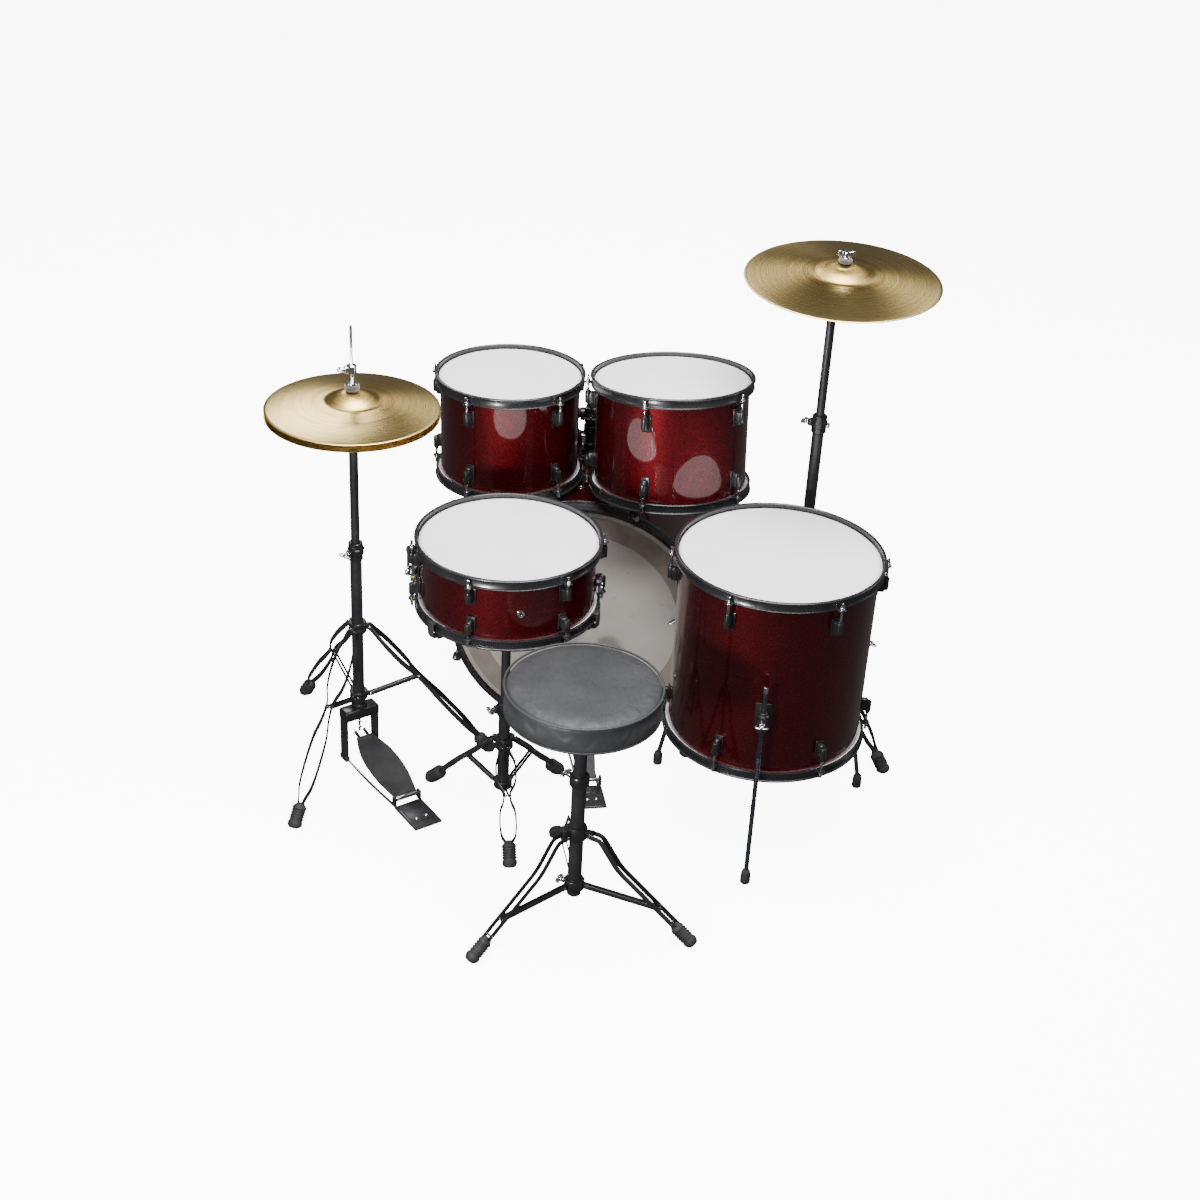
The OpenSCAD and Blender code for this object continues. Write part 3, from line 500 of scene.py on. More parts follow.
def shell_part(r, depth, wall=WALL):
    """A ply shell with rounded bearing edges, its wrap a hair proud of them."""
    h = depth / 2
    return turned([(r - wall, h - 5), (r - 2.2, h), (r - 1.2, h), (r - 0.4, h - 0.6), (r - 0.4, h - 5),
                   (r, h - 5.4), (r, 5.4 - h), (r - 0.4, 5 - h), (r - 0.4, 0.6 - h), (r - 1.2, -h),
                   (r - 2.2, -h), (r - wall, 5 - h)], 192)


def shell_piece(name, body, base, r, depth, seam, wall=WALL):
    """The shell, lacquered outside and bare ply inside, with the lap of its wrap."""
    piece = Piece(name, body, "wine_lacquer", base, lacquer, ply)
    bm = shell_part(r, depth, wall)
    for face in bm.faces:
        middle_of = face.calc_center_median()
        face.material_index = 1 if math.hypot(middle_of.x, middle_of.y) < r - wall / 2 else 0
    mesh = bpy.data.meshes.new("part")
    bm.to_mesh(mesh)
    bm.free()
    piece.bm.from_mesh(mesh)
    bpy.data.meshes.remove(mesh)
    h = depth / 2 - 5.6
    overlap = turned([(r - 0.2, -h), (r + 0.35, -h), (r + 0.35, h), (r - 0.2, h)], 4, 5.0)
    return piece.add(overlap, turn(seam, "Z"))


def flanged_hoop(r):
    """Pressed steel hoop: a flange that bears on the head, a wall, and a lip rolled outwards at the top."""
    inner, outer = r + 5.6, r + 7.6
    lip = [(r + 10.2 + 2.3 * math.cos(math.radians(a)), RIM_UP - 2.3 + 2.3 * math.sin(math.radians(a)))
           for a in range(-60, 91, 30)]
    return turned([(r + 3, -4.2), (inner - 0.4, -4.2), (inner, -4.8), (inner, -RIM_DOWN + 0.6),
                   (inner + 0.6, -RIM_DOWN), (r + 10.4, -RIM_DOWN), (r + 11, -RIM_DOWN + 0.7),
                   (r + 11, -RIM_DOWN + 1.6), (r + 10.4, -RIM_DOWN + 2.2), (outer + 0.8, -RIM_DOWN + 2.4),
                   (outer, -RIM_DOWN + 3.4), (outer, RIM_UP - 5)] + lip +
                  [(r + 6.4, RIM_UP), (inner, RIM_UP - 0.8), (inner, -2.2), (r + 3, -2.2)], 160)


def hoop_ear(r):
    """A folded ear with a rounded nose, which takes one rod."""
    ear = bmesh.new()
    bmesh.ops.create_cube(ear, size=1)
    bmesh.ops.scale(ear, vec=(ROD_OUT - 1, 17, 2.4), verts=ear.verts)
    upright = [e for e in ear.edges if abs(e.verts[0].co.z - e.verts[1].co.z) > 1]
    nose = [e for e in upright if e.verts[0].co.x > 0]
    bmesh.ops.bevel(ear, geom=nose, offset=6.5, offset_type="OFFSET", segments=5, profile=0.5,
                    affect="EDGES", material=-1)
    softened(ear, 0.6, 1, 60)
    bmesh.ops.translate(ear, vec=(r + 8 + ROD_OUT / 2, 0, 1.2 - RIM_DOWN), verts=ear.verts)
    return ear


def head_part(r):
    """A head: flat film, the collar that folds over the bearing edge, and the flesh hoop under the rim."""
    return turned([(0, 0.7), (r - 9, 0.6), (r - 3, 0.35), (r + 0.4, -0.5), (r + 2.2, -2.0), (r + 3.2, -4.3),
                   (r + 5.2, -4.6), (r + 5.2, -9.5), (r + 0.6, -9.5), (r + 0.5, -4), (r + 0.2, -0.9),
                   (r - 3, 0.02), (0, 0.05)], 160)


def lug_casting(drop, long=30, wide=19):
    """A cast lug: a rounded back plate, a domed body and the collar that holds the swivel nut."""
    return [(block(2.6, wide, long + 9, 1.2), shift(1.7, 0, -drop - 4)),
            (block(15, wide - 7, long, 4.0, 3), shift(8.5, 0, -drop - 4)),
            (pillar(6.6, -drop - 13, -drop + long / 2 - 2, 1.4, 28), shift(ROD_OUT, 0)),
            (pillar(4.9, -drop + long / 2 - 2.5, -drop + long / 2 + 1.5, 0.8, 24), shift(ROD_OUT, 0))]


def tension_rod(drop):
    """A square-headed rod with its washer, reaching from the hoop's ear into the lug."""
    return [(pillar(2.7, -drop, 1 - RIM_DOWN, 0.3, 16), shift(ROD_OUT, 0)),
            (pillar(6.3, 2.5 - RIM_DOWN, 4 - RIM_DOWN, 0.5, 24), shift(ROD_OUT, 0)),
            (pillar(4.9, 4 - RIM_DOWN, 7.6 - RIM_DOWN, 0.9, 24), shift(ROD_OUT, 0)),
            (pillar(3.7, 7.2 - RIM_DOWN, 9.4 - RIM_DOWN, 0.5, 20), shift(ROD_OUT, 0)),
            (block(5.4, 5.4, 9, 0.7), shift(ROD_OUT, 0, 13.4 - RIM_DOWN))]


def vent():
    """The chromed air hole, facing up, and a black plug set in it as painted shade for its bore: (part, finish) pairs.
    """
    # The second part is a black plug, not a hole: painted shade where the bore would look dark.
    return [(turned([(3.4, -1), (3.4, 0.9), (4.2, 1.7), (6.2, 1.7), (7.6, 0.8), (7.8, -1)], 40), 0),
            (pillar(3.5, -1, 0.6, 0.1, 24), 1)]


def drum(name, body, base, r, depth, lugs, first, drop, seam=170, lug_long=30):
    """Shell, two hoops, two heads, lugs and rods of one drum."""
    places = rim_places(depth, lugs, first)
    ends = ends_of(depth)
    shell_piece(f"{name}_lacquered_shell", body, base, r, depth, seam).done(f"{name}_shell")
    hoops = Piece(f"{name}_flanged_hoops", body, "black_enamel", base, enamel)
    hoops.add(flanged_hoop(r), ends).add(hoop_ear(r), places).done(f"{name}_hoops")
    Piece(f"{name}_coated_heads", body, "drum_head", base, film).add(head_part(r), ends).done(f"{name}_heads",
                                                                                              sharp=60)
    castings = Piece(f"{name}_lug_castings", body, "black_enamel", base, casting)
    for part, place in lug_casting(drop, lug_long):
        castings.add(part, [p @ shift(r, 0) @ place for p in places])
    rods = Piece(f"{name}_tension_rods", body, "chrome_plate", base, chrome)
    for part, place in tension_rod(drop):
        rods.add(part, [p @ shift(r, 0) @ place for p in places])
    rods.done()
    return castings


def wing_screw(shank=10.0, span=14.0, head=6.0):
    """A wing screw along +X: shank, collar, hub and two swept wings."""
    parts = [(pillar(3.4, 0, shank + 3, 0.4, 20), turn(90, "Y")),
             (pillar(6.2, shank * 0.3, shank, 0.9, 28), turn(90, "Y")),
             (pillar(head, shank + 1, shank + 9, 1.8, 28, head * 0.7), turn(90, "Y"))]
    for side in (-1, 1):
        wing = softened(bar_shape(span, 9.0, 3.6), 1.5, 3)
        parts.append((wing, shift(shank + 7, side * span * 0.55, 0) @ turn(side * 18, "Z")))
    return parts


def bar_shape(along_y, along_x, thick):
    """A sharp bar, before its edges are rounded."""
    bm = bmesh.new()
    bmesh.ops.create_cube(bm, size=1)
    bmesh.ops.scale(bm, vec=(along_x, along_y, thick), verts=bm.verts)
    return bm


def add_all(piece, parts, places=None, finish=0):
    """Adds a list of (part, place) pairs at each of several places."""
    for part, place in parts:
        piece.add(part, [p @ place for p in (places or [Matrix()])], finish)
    return piece


def centred(node, lean=Matrix()):
    """The frame at a node's middle, leaning as its drum does."""
    return Matrix.Translation(middle(node)) @ lean


def tom_bracket(castings, r, depth, grip):
    """The cast bracket on a tom's shell, with its memory screw, which the bent arm slides into."""
    base = shift(0, 0, depth / 2 + 8) @ turn(grip[0], "Z") @ shift(r, 0, -grip[2])
    tall = min(62.0, 2 * (depth + 8 - RIM_DOWN - grip[2]) - 2)
    castings.add(block(4, 46, tall, 1.6), base @ shift(2.2, 0))
    castings.add(block(ARM_GAP, 24, 40, 4, 3), base @ shift(ARM_GAP / 2, 0))
    castings.add(collar(11.4, 5.3, -21, 21, 2.0, 40), base @ shift(ARM_GAP, 0))
    add_all(castings, wing_screw(6, 13, 5), [base @ shift(ARM_GAP + 9, 0, 6)])


def rack_toms():
    """The two toms over the bass drum, with the brackets that their arms slide into."""
    toms = (("left", LEFT_R, LEFT_DEPTH, LEFT_FIRST, LEFT_LEAN, LEFT_GRIP),
            ("right", RIGHT_R, RIGHT_DEPTH, RIGHT_FIRST, RIGHT_LEAN, RIGHT_GRIP))
    for side, r, depth, first, lean, grip in toms:
        name = f"rack_tom_{side}"
        castings = drum(name, name, centred(f"{name}_shell", lean), r, depth, 5, first, 46)
        tom_bracket(castings, r, depth, grip)
        castings.done(f"{name}_lugs")


def floor_tom():
    """The floor tom with its three leg brackets and their wing screws."""
    name = "floor_tom"
    base = centred("floor_tom_shell")
    castings = drum(name, "kit", base, FLOOR_R, FLOOR_DEPTH, 6, FLOOR_FIRST, 54, seam=120)
    hold = LEG_HOLD - middle("floor_tom_shell").z
    screws = Piece("floor_tom_leg_screws", "kit", "chrome_plate", base, chrome)
    for place in ring_of(3, LEG_FIRST):
        grip = place @ shift(FLOOR_R, 0, hold)
        castings.add(block(3.6, 34, 60, 1.5), grip @ shift(2.2, 0))
        castings.add(block(24, 19, 34, 5, 3), grip @ shift(13, 0))
        castings.add(collar(11.6, 5.2, -20, 20, 2.4, 40), grip @ shift(LEG_OUT, 0))
        castings.add(collar(8.5, 5.2, -25, 25, 1.5, 32), grip @ shift(LEG_OUT, 0))
        add_all(screws, wing_screw(7, 13, 5), [grip @ shift(LEG_OUT + 6, 0)])
    castings.done("floor_tom_lugs")
    screws.done()


def floor_tom_legs():
    """Three bent rods with a knurled upper end and rubber tips."""
    at = middle("floor_tom_shell")
    base = shift(at.x, at.y)
    top = high("floor_tom_legs").z
    out = FLOOR_R + LEG_OUT
    line = curve([(out, 0, top - 1), (out, 0, 260), (out, 0, 190), (out + 5, 0, 150),
                  (out + LEG_SPLAY, 0, 20)], 3)
    legs = Piece("floor_tom_bent_legs", "floor_tom_legs", "steel_rod", base, steel, rubber, chrome)
    places = ring_of(3, LEG_FIRST)
    legs.add(drawn(line, 2 * LEG_R), places)
    for height in range(16):
        legs.add(collar(LEG_R + 0.25, LEG_R - 1, 0, 2.2, 0.6, 20),
                 each(places, out, 0, 230 + height * 4))
    legs.add(pillar(LEG_R + 0.1, top - 14, top, 1.2, 24), each(places, out, 0), 2)
    tip = turned([(0, 0), (9, 0), (10.6, 2), (10.8, 9), (9.4, 10), (9.4, 11.5), (10.6, 12.5), (10.2, 24),
                  (8.6, 30), (6.4, 33), (0, 33)], 40)
    legs.add(tip, each(places, out + LEG_SPLAY - 1, 0), 1)
    legs.done("floor_tom_legs")


# ---- snare drum ----

def snare():
    """The snare drum with its air vent and strainer."""
    base = centred("snare_shell")
    castings = drum("snare", "snare", base, SNARE_R, SNARE_DEPTH, 6, SNARE_FIRST, 34, seam=80, lug_long=26)
    castings.done("snare_lugs")
    hole = Piece("snare_air_vent", "snare", "chrome_plate", base, chrome, casting)
    for part, finish in vent():
        hole.add(part, turn(-75, "Z") @ shift(SNARE_R - 0.3, 0) @ turn(90, "Y"), finish)
    hole.done()
    strainer(base)


def strainer(base):
    """Throw-off on the left with its housing, thumb wheel and clamp, and the butt plate opposite."""
    x = -SNARE_R
    throw = Piece("snare_throw_off", "snare", "chrome_plate", base, chrome, brass, casting)
    throw.add(block(4, 34, 58, 1.5), shift(x - 3, 0, -8), 2)
    throw.add(block(15, 24, 42, 3, 3), shift(x - 12, 0, -8))
    throw.add(pillar(7.6, 12, 22, 1.2, 28), shift(x - 14, 0))
    throw.add(pillar(2.6, 20, 31, 0.4, 16), shift(x - 14, 0))
    for ridge in range(14):
        throw.add(block(1.6, 1.6, 8, 0.3, 1), shift(x - 14, 0, 17) @ turn(ridge * 360 / 14, "Z") @ shift(7.6, 0))
    for side in (-1, 1):
        throw.add(block(12, 4.4, 13, 1.8), shift(x - 26, side * 9.6, -20))
        throw.add(pillar(3.6, -1.2, 1.2, 0.6, 20), shift(x - 27, side * 12.6, -20) @ turn(90, "X"))
    throw.add(block(14, 20, 14, 2.5), shift(x - 15, 0, -34), 1)
    throw.add(block(3, 30, 12, 1), shift(x - 8, 0, -44))
    for y in (-9, 9):
        throw.add(pillar(3.2, 0, 3.4, 0.7, 16), shift(x - 9.4, y, -44) @ turn(-90, "Y"))
        throw.add(pillar(3.0, 0, 2.2, 0.6, 16), shift(x - 5, y * 1.4, 16) @ turn(-90, "Y"))
    throw.add(block(12, 28, 30, 2.2), shift(SNARE_R + 7, 0, -13))
    for y in (-8, 8):
        throw.add(pillar(3.0, 0, 3, 0.7, 16), shift(SNARE_R + 12.5, y, -20) @ turn(90, "Y"))
    throw.done("snare_strainer")
    lever = Piece("snare_throw_handle", "snare_throw_lever", "chrome_plate", base, chrome, rubber)
    lever.add(block(4.6, 11, 52, 1.6), shift(x - 27, 0, 5))
    lever.add(pillar(2.45, -12, 12, 0.4, 20), shift(x - 27, 0, -20) @ turn(90, "X"))
    lever.add(pillar(4.4, -6.5, 6.5, 1.2, 24), shift(x - 27, 0, 29) @ turn(90, "X"), 1)
    lever.done("snare_throw_lever")


# ---- bass drum, on its own axis: z runs from the face of the batter hoop ----

# The claws' rods stand CLAW_OUT from the shell; the wooden hoops are HOOP_W wide and reach HOOP_OUT past it
BASS_R = 279.5
BASS_LUGS = 8
BASS_FIRST = 22.5
CLAW_OUT = 21
HOOP_W = 38
HOOP_OUT = 10.5
VENT = (-18, 124)

# Each spur leans by SPUR_TILT at its hinge; its foot stands this far to the side and forward of the hinge
SPUR_TILT = 15
SPUR_SPREAD = 80
SPUR_FORWARD = 108


def bass_base():
    """The bass drum's frame, its z axis pointing from the batter side to the front."""
    at = middle("bass_drum_shell")
    return shift(at.x, low("bass_drum_hoops").y, at.z) @ turn(-90, "X")


def bass_drum():
    """Shell, hoops, heads, claws, lugs and air vent."""
    base = bass_base()
    long = high("bass_drum_hoops").y - low("bass_drum_hoops").y
    ends = [Matrix(), shift(0, 0, long) @ turn(180, "X")]
    centre = shift(0, 0, long / 2)
    shell = shell_piece("bass_drum_lacquered_shell", "kit", base @ centre, BASS_R, long - 24, 100, 7)
    shell.done("bass_drum_shell")
    bass_hoops(base, ends)
    bass_heads(base, ends)
    places = [end @ place for end in ends for place in ring_of(BASS_LUGS, BASS_FIRST)]
    bass_claws(base, places)
    castings = Piece("bass_drum_lug_castings", "kit", "black_enamel", base, casting)
    castings.add(block(3, 21, 52, 1.3), each(places, BASS_R + 2, 0, 95))
    castings.add(block(19, 13, 38, 4.5, 3), each(places, BASS_R + 10, 0, 95))
    castings.add(pillar(8.2, 76, 114, 1.6, 32), each(places, BASS_R + CLAW_OUT, 0))
    castings.add(pillar(6.0, 72, 78, 0.8, 28), each(places, BASS_R + CLAW_OUT, 0))
    spur_brackets(castings, base)
    castings.done("bass_drum_lugs")
    hole = Piece("bass_drum_air_vent", "kit", "chrome_plate", Matrix(), chrome, casting)
    for part, finish in vent():
        hole.add(part, shift(middle("bass_drum_shell").x + VENT[0], base.translation.y + VENT[1],
                             high("bass_drum_shell").z - 0.8), finish)
    hole.done()


def bass_hoops(base, ends):
    """Wide wooden hoops in black gloss, each with a fine line of worn black let into its outside."""
    inner, outer = BASS_R + 2, BASS_R + HOOP_OUT
    body = [(inner, 1.5), (inner + 1.5, 0), (outer - 2, 0), (outer - 0.6, 0.6), (outer, 2), (outer, 15),
            (outer - 0.7, 15.5), (outer - 0.7, 22.5), (outer, 23), (outer, HOOP_W - 2),
            (outer - 0.6, HOOP_W - 0.6), (outer - 2, HOOP_W), (inner + 1.5, HOOP_W), (inner, HOOP_W - 1.5)]
    line = [(outer - 0.9, 15.6), (outer - 0.35, 15.6), (outer - 0.35, 22.4), (outer - 0.9, 22.4)]
    hoops = Piece("bass_drum_wooden_hoops", "kit", "black_enamel", base, enamel, worn)
    hoops.add(turned(body, 192), ends).add(turned(line, 192), ends, 1).done("bass_drum_hoops")


def bass_heads(base, ends):
    """The batter head, grey and see-through over a glued muffling ring, and the white front head."""
    edge = 12
    outline = [(0, edge - 0.6), (BASS_R - 14, edge - 0.5), (BASS_R - 4, edge - 0.2), (BASS_R + 0.6, edge + 2.5),
               (BASS_R + 1.4, edge + 8), (BASS_R + 1.4, HOOP_W + 0.4), (BASS_R + 7.6, HOOP_W + 0.4),
               (BASS_R + 7.6, HOOP_W + 5), (BASS_R + 0.5, HOOP_W + 5), (BASS_R + 0.5, edge + 4),
               (BASS_R - 4, edge + 0.35), (0, edge)]
    for name, end, finish in (("batter", ends[0], batter_film), ("front", ends[1], film)):
        head = Piece(f"bass_drum_{name}_head", "kit", "drum_head", base @ end, finish, ring_film)
        head.add(turned(outline, 192))
        if name == "batter":
            ring = turned([(BASS_R - 58, edge - 0.75), (BASS_R - 12, edge - 0.75), (BASS_R - 12, edge - 0.55),
                           (BASS_R - 58, edge - 0.55)], 192)
            head.add(ring, finish=1)
            head.done("bass_drum_heads", sharp=60)
        else:
            head.done(sharp=60)


def bass_claws(base, places):
    """Claw hooks over the hoop, each with a square-headed rod."""
    claws = Piece("bass_drum_claw_hooks", "kit", "black_enamel", base, casting)
    r = BASS_R
    hook = curve([(r + 5, 0, -2.2), (r + 12, 0, -2.4), (r + CLAW_OUT + 1, 0, -1), (r + CLAW_OUT + 1, 0, 6)], 2)
    claws.add(drawn(hook, 4, 20, 12, Vector((1, 0, 0))), places)
    claws.add(block(4.4, 22, 36, 1.8), each(places, r + 13.6, 0, 15))
    claws.add(block(11, 15, 16, 3.5, 3), each(places, r + 18, 0, 7))
    claws.add(pillar(7.2, -3, 17, 1.6, 28), each(places, r + CLAW_OUT, 0))
    claws.done("bass_drum_claws")
    rods = Piece("bass_drum_claw_rods", "kit", "chrome_plate", base, chrome)
    rods.add(pillar(3.1, -4, 98, 0.3, 16), each(places, r + CLAW_OUT, 0))
    rods.add(pillar(5.8, -5, -2.6, 0.8, 24), each(places, r + CLAW_OUT, 0))
    rods.add(block(5.6, 5.6, 7, 0.7), each(places, r + CLAW_OUT, 0, -7))
    rods.done()


def spur_brackets(castings, base):
    """The fixed halves of the spurs' hinges, with their pads on the shell."""
    for name, side in (("spur_right_fold", 1), ("spur_left_fold", -1)):
        at = Matrix.Translation(pivot(name)) @ turn(side * (90 - SPUR_TILT), "Y")
        place = base.inverted() @ at
        castings.add(pillar(15, -24, -6.4, 1.6, 40), place)
        castings.add(pillar(3.9, -10, 9, 0.5, 20), place)
        castings.add(collar(7.5, 3.8, 6.4, 9.2, 0.9, 32), place)
        plate = Matrix.Translation(pivot(name)) @ shift(-side * 24.5, 0, -2)
        castings.add(block(8.6, 40, 48, 2.4), base.inverted() @ plate)


def spurs():
    """Folding spurs: a cast pivot, a steel rod and a rubber tip."""
    for name, side in (("right", 1), ("left", -1)):
        at = pivot(f"spur_{name}_fold")
        leg = Piece(f"spur_{name}_leg", f"spur_{name}", "black_enamel", Matrix(), satin, rubber, casting)
        foot = at + Vector((side * SPUR_SPREAD, SPUR_FORWARD, 13 - at.z))
        way = (foot - at).normalized()
        hinge = Matrix.Translation(at) @ turn(side * (90 - SPUR_TILT), "Y")
        leg.add(collar(15, 4.1, -6, 6, 1.4, 48), hinge, 2)
        leg.add(drawn([at + way * 9, at + way * 48], 17, 14), finish=2)
        leg.add(drawn([at + way * 40, foot + way * -6], 11))
        leg.add(drawn([at + way * 150, at + way * 162], 16), finish=2)
        tip = turned([(0, 0), (8.4, 0), (9.6, 1.6), (9.8, 7), (8.8, 8), (8.8, 9), (9.8, 10), (9.6, 20), (8, 27),
                      (6.2, 31), (0, 31)], 40)
        leg.add(tip, shift(foot.x, foot.y), 1)
        leg.done(f"spur_{name}")


def tom_mount():
    """The base on the bass drum that the holder's post stands in, and the post with its two balls."""
    at = middle("tom_holder")
    top = high("bass_drum_shell").z
    mount = Piece("tom_mount_base", "kit", "black_enamel", shift(at.x, at.y, top), casting, chrome)
    mount.add(block(70, 56, 8, 3, 3), shift(0, 0, 2))
    mount.add(turned([(12.8, 4), (27, 4), (26, 8), (22.5, 12), (22, 24), (20.5, 26), (12.8, 26)], 64))
    for x, y in ((-28, -21), (28, -21), (-28, 21), (28, 21)):
        mount.add(pillar(3.6, 5, 8.6, 1.2, 20), shift(x, y), 1)
    add_all(mount, wing_screw(8, 15, 6), [shift(0, -18, 17) @ turn(-90, "Z")], 0)
    mount.done("bass_drum_tom_mount")
    clamp = pivot("rack_tom_left_tilt").z
    post = Piece("tom_holder_post", "tom_holder", "black_enamel", shift(at.x, at.y), satin, casting, chrome)
    post.add(pillar(12.7, low("tom_holder").z, clamp + 54, 2, 48))
    post.add(block(30, 27, 42, 5, 3), shift(0, 0, clamp), 1)
    for side in (-1, 1):
        post.add(collar(15, 10.6, -5, 5, 1.6, 48), shift(side * 20, 0, clamp) @ turn(90, "Y"), 1)
    post.add(collar(17, 12.6, clamp - 44, clamp - 24, 2, 48), finish=1)
    post.add(collar(16, 12.6, top + 27, top + 41, 1.6, 48), finish=1)
    add_all(post, wing_screw(8, 16, 6), [shift(0, -11, clamp) @ turn(-90, "Z")], 1)
    add_all(post, wing_screw(5, 12, 5), [shift(0, 15, clamp - 34) @ turn(90, "Z")], 1)
    post.done("tom_holder")


def tom_arms():
    """Bent arms from the holder's balls down the side of each tom, through its bracket."""
    for side, r, lean, depth, grip in (("left", LEFT_R, LEFT_LEAN, LEFT_DEPTH, LEFT_GRIP),
                                       ("right", RIGHT_R, RIGHT_LEAN, RIGHT_DEPTH, RIGHT_GRIP)):
        name = f"rack_tom_{side}"
        at = pivot(f"{name}_tilt")
        rim = centred(f"{name}_shell", lean) @ shift(0, 0, depth / 2 + 8) @ turn(grip[0], "Z")
        bend = rim @ Vector((r + ARM_GAP, 0, -grip[1]))
        end = rim @ Vector((r + ARM_GAP, 0, -grip[2] - 30))
        arm = Piece(f"tom_bent_arm_{side}", name, "black_enamel", Matrix(), satin, casting)
        arm.add(drawn(curve([at, at.lerp(bend, 0.75), bend, bend.lerp(end, 0.3), end], 3), 10, sides=16))
        arm.add(ball(12, 32), Matrix.Translation(at), 1)
        neck = (bend - at).normalized()
        arm.add(drawn([at + neck * 9, at + neck * 20], 14, sides=24), finish=1)
        lock = (end - bend).normalized()
        arm.add(drawn([bend + lock * 9, bend + lock * 21], 19, sides=32), finish=1)
        arm.done(f"tom_arm_{side}")


# ---- stands ----

TUBE_R = 12.7
INNER_R = 9.5

# Leg angles, heights of the two hubs, reach of the feet, and reach of the braces along the legs
SNARE_TRIPOD = ((-78, 57, 152), 180, 74, 184, 96)
HIHAT_TRIPOD = ((13, 127, 253), 338, 165, 284, 132)
CRASH_TRIPOD = ((-29.5, 90.5, 210.5), 345, 120, 254, 120)
BASKET_FIRST = -134


def strips(points, bulges, wide, thick, rounds=2):
    """Two pressed strips in the XZ plane that bow apart and meet again, given as (x, z) points and half gaps."""
    made = []
    for side in (-1, 1):
        line = curve([(x, side * gap, z) for (x, z), gap in zip(points, bulges)], rounds)
        made.append(drawn(line, wide, thick, 12, Z))
    return made


def between(a, b, share):
    """The point a share of the way from one point to another."""
    return (a[0] + (b[0] - a[0]) * share, a[1] + (b[1] - a[1]) * share)


def rivet(x, z, length, radius=3.4):
    """A domed rivet through both strips."""
    half = length / 2
    dome = turned([(0, -half - 1.6), (radius * 0.7, -half - 1.3), (radius, -half), (radius * 0.6, -half),
                   (radius * 0.6, half), (radius, half), (radius * 0.7, half + 1.3), (0, half + 1.6)], 20)
    return dome, shift(x, 0, z) @ turn(90, "X")


def boot(foot_r, slope, thick=15.5, long=50):
    """A ribbed rubber boot on the end of a leg that falls by a slope, cut flat where it stands on the floor."""
    outline = [(0, 8), (7, 8), (8.5, 6), (9.5, 4), (thick - 2, 0)]
    ribs = 5
    for i in range(ribs):
        z = -4 - i * (long - 22) / ribs
        outline += [(thick, z), (thick, z - 2.6), (thick - 1.8, z - 3.2), (thick - 1.8, z - 4.6)]
    outline += [(thick + 0.6, 14 - long), (thick, 8 - long), (thick * 0.75, 2 - long), (thick * 0.35, 0.4 - long),
                (0, -long)]
    bm = turned(outline, 40)
    lean = math.degrees(math.atan(slope))
    bmesh.ops.transform(bm, matrix=shift(foot_r, 0, 14) @ turn(lean - 90, "Y") @ shift(0, 0, long * 0.55),
                        verts=bm.verts)
    bmesh.ops.bisect_plane(bm, geom=bm.verts[:] + bm.edges[:] + bm.faces[:], plane_co=(0, 0, 0.3),
                           plane_no=(0, 0, 1), clear_inner=True)
    rim = [e for e in bm.edges if e.is_boundary]
    bmesh.ops.contextual_create(bm, geom=rim)
    bmesh.ops.recalc_face_normals(bm, faces=bm.faces)
    return bm


def hub(piece, z, half, out=20.0):
    """A cast hub round the tube, waisted and with three forked ears."""
    piece.add(turned([(TUBE_R - 1, z - half), (out - 1, z - half), (out, z - half + 1.5), (out, z - half * 0.4),
                      (out - 2, z), (out, z + half * 0.4), (out, z + half - 1.5), (out - 1.5, z + half),
                      (TUBE_R - 1, z + half)], 64), finish=1)


def spread_tripod(piece, angles, hub_z, low_z, foot_r, brace_r):
    """A tripod that stays spread: bowed double legs pinched where the braces bolt on, and ribbed boots."""
    places = [turn(angle, "Z") for angle in angles]
    slope = (hub_z - 18) / (foot_r - 26)
    top, foot = (26, hub_z), (foot_r - 14, 18 + 14 * slope)
    brace = (brace_r, hub_z - (brace_r - 26) * slope)
    line = [top, between(top, brace, 0.12), between(top, brace, 0.32), between(top, brace, 0.72),
            between(top, brace, 0.93), between(brace, foot, 0.05), between(brace, foot, 0.16),
            between(brace, foot, 0.32), between(brace, foot, 0.78), between(brace, foot, 0.93), foot]
    for strip in strips(line, (8, 11, 21, 21, 6.5, 6.5, 9, 17, 17, 6, 5), 11.5, 3.6):
        piece.add(strip, places)
    for side in (-1, 1):
        piece.add(drawn([(26, side * 3.6, low_z), (brace[0], side * 3.6, brace[1])], 10.5, 2.4), places)
    for x, z, length in ((top[0], top[1], 20), (26, low_z, 11), (brace[0], brace[1], 16), (foot[0], foot[1], 12)):
        part, place = rivet(x, z, length)
        piece.add(part, [p @ place for p in places], 2)
    piece.add(block(18, 12, 14, 2.5), each(places, TUBE_R + 9, 0, hub_z), 1)
    piece.add(block(18, 5, 13, 1.6), each(places, TUBE_R + 9, 0, low_z), 1)
    hub(piece, hub_z, 13)
    hub(piece, low_z, 9.5)
    piece.add(boot(foot_r, slope), places, 3)


def clamp(piece, bottom, top, aim, reach=15.0, sleeve=None):
    """A height clamp: a split sleeve with a hinged collar, its bolt and a wing screw."""
    piece.add(collar(sleeve or 16, INNER_R + 0.1, bottom, top, 1.8, 64), finish=1)
    z = (bottom + top) / 2
    piece.add(collar(17.6, INNER_R + 2, z - 9, z + 9, 3.0, 64), finish=1)
    place = turn(aim, "Z")
    piece.add(block(14, 15, 16, 3, 3), place @ shift(17, 0, z), 1)
    piece.add(block(9, 4, 13, 1.5), place @ shift(-19, 0, z), 1)
    piece.add(pillar(3, -7, 7, 0.8, 16), place @ shift(-20, 0, z) @ turn(90, "X"), 2)
    add_all(piece, wing_screw(reach - 8, 15, 6), [place @ shift(20, 0, z)], 2)


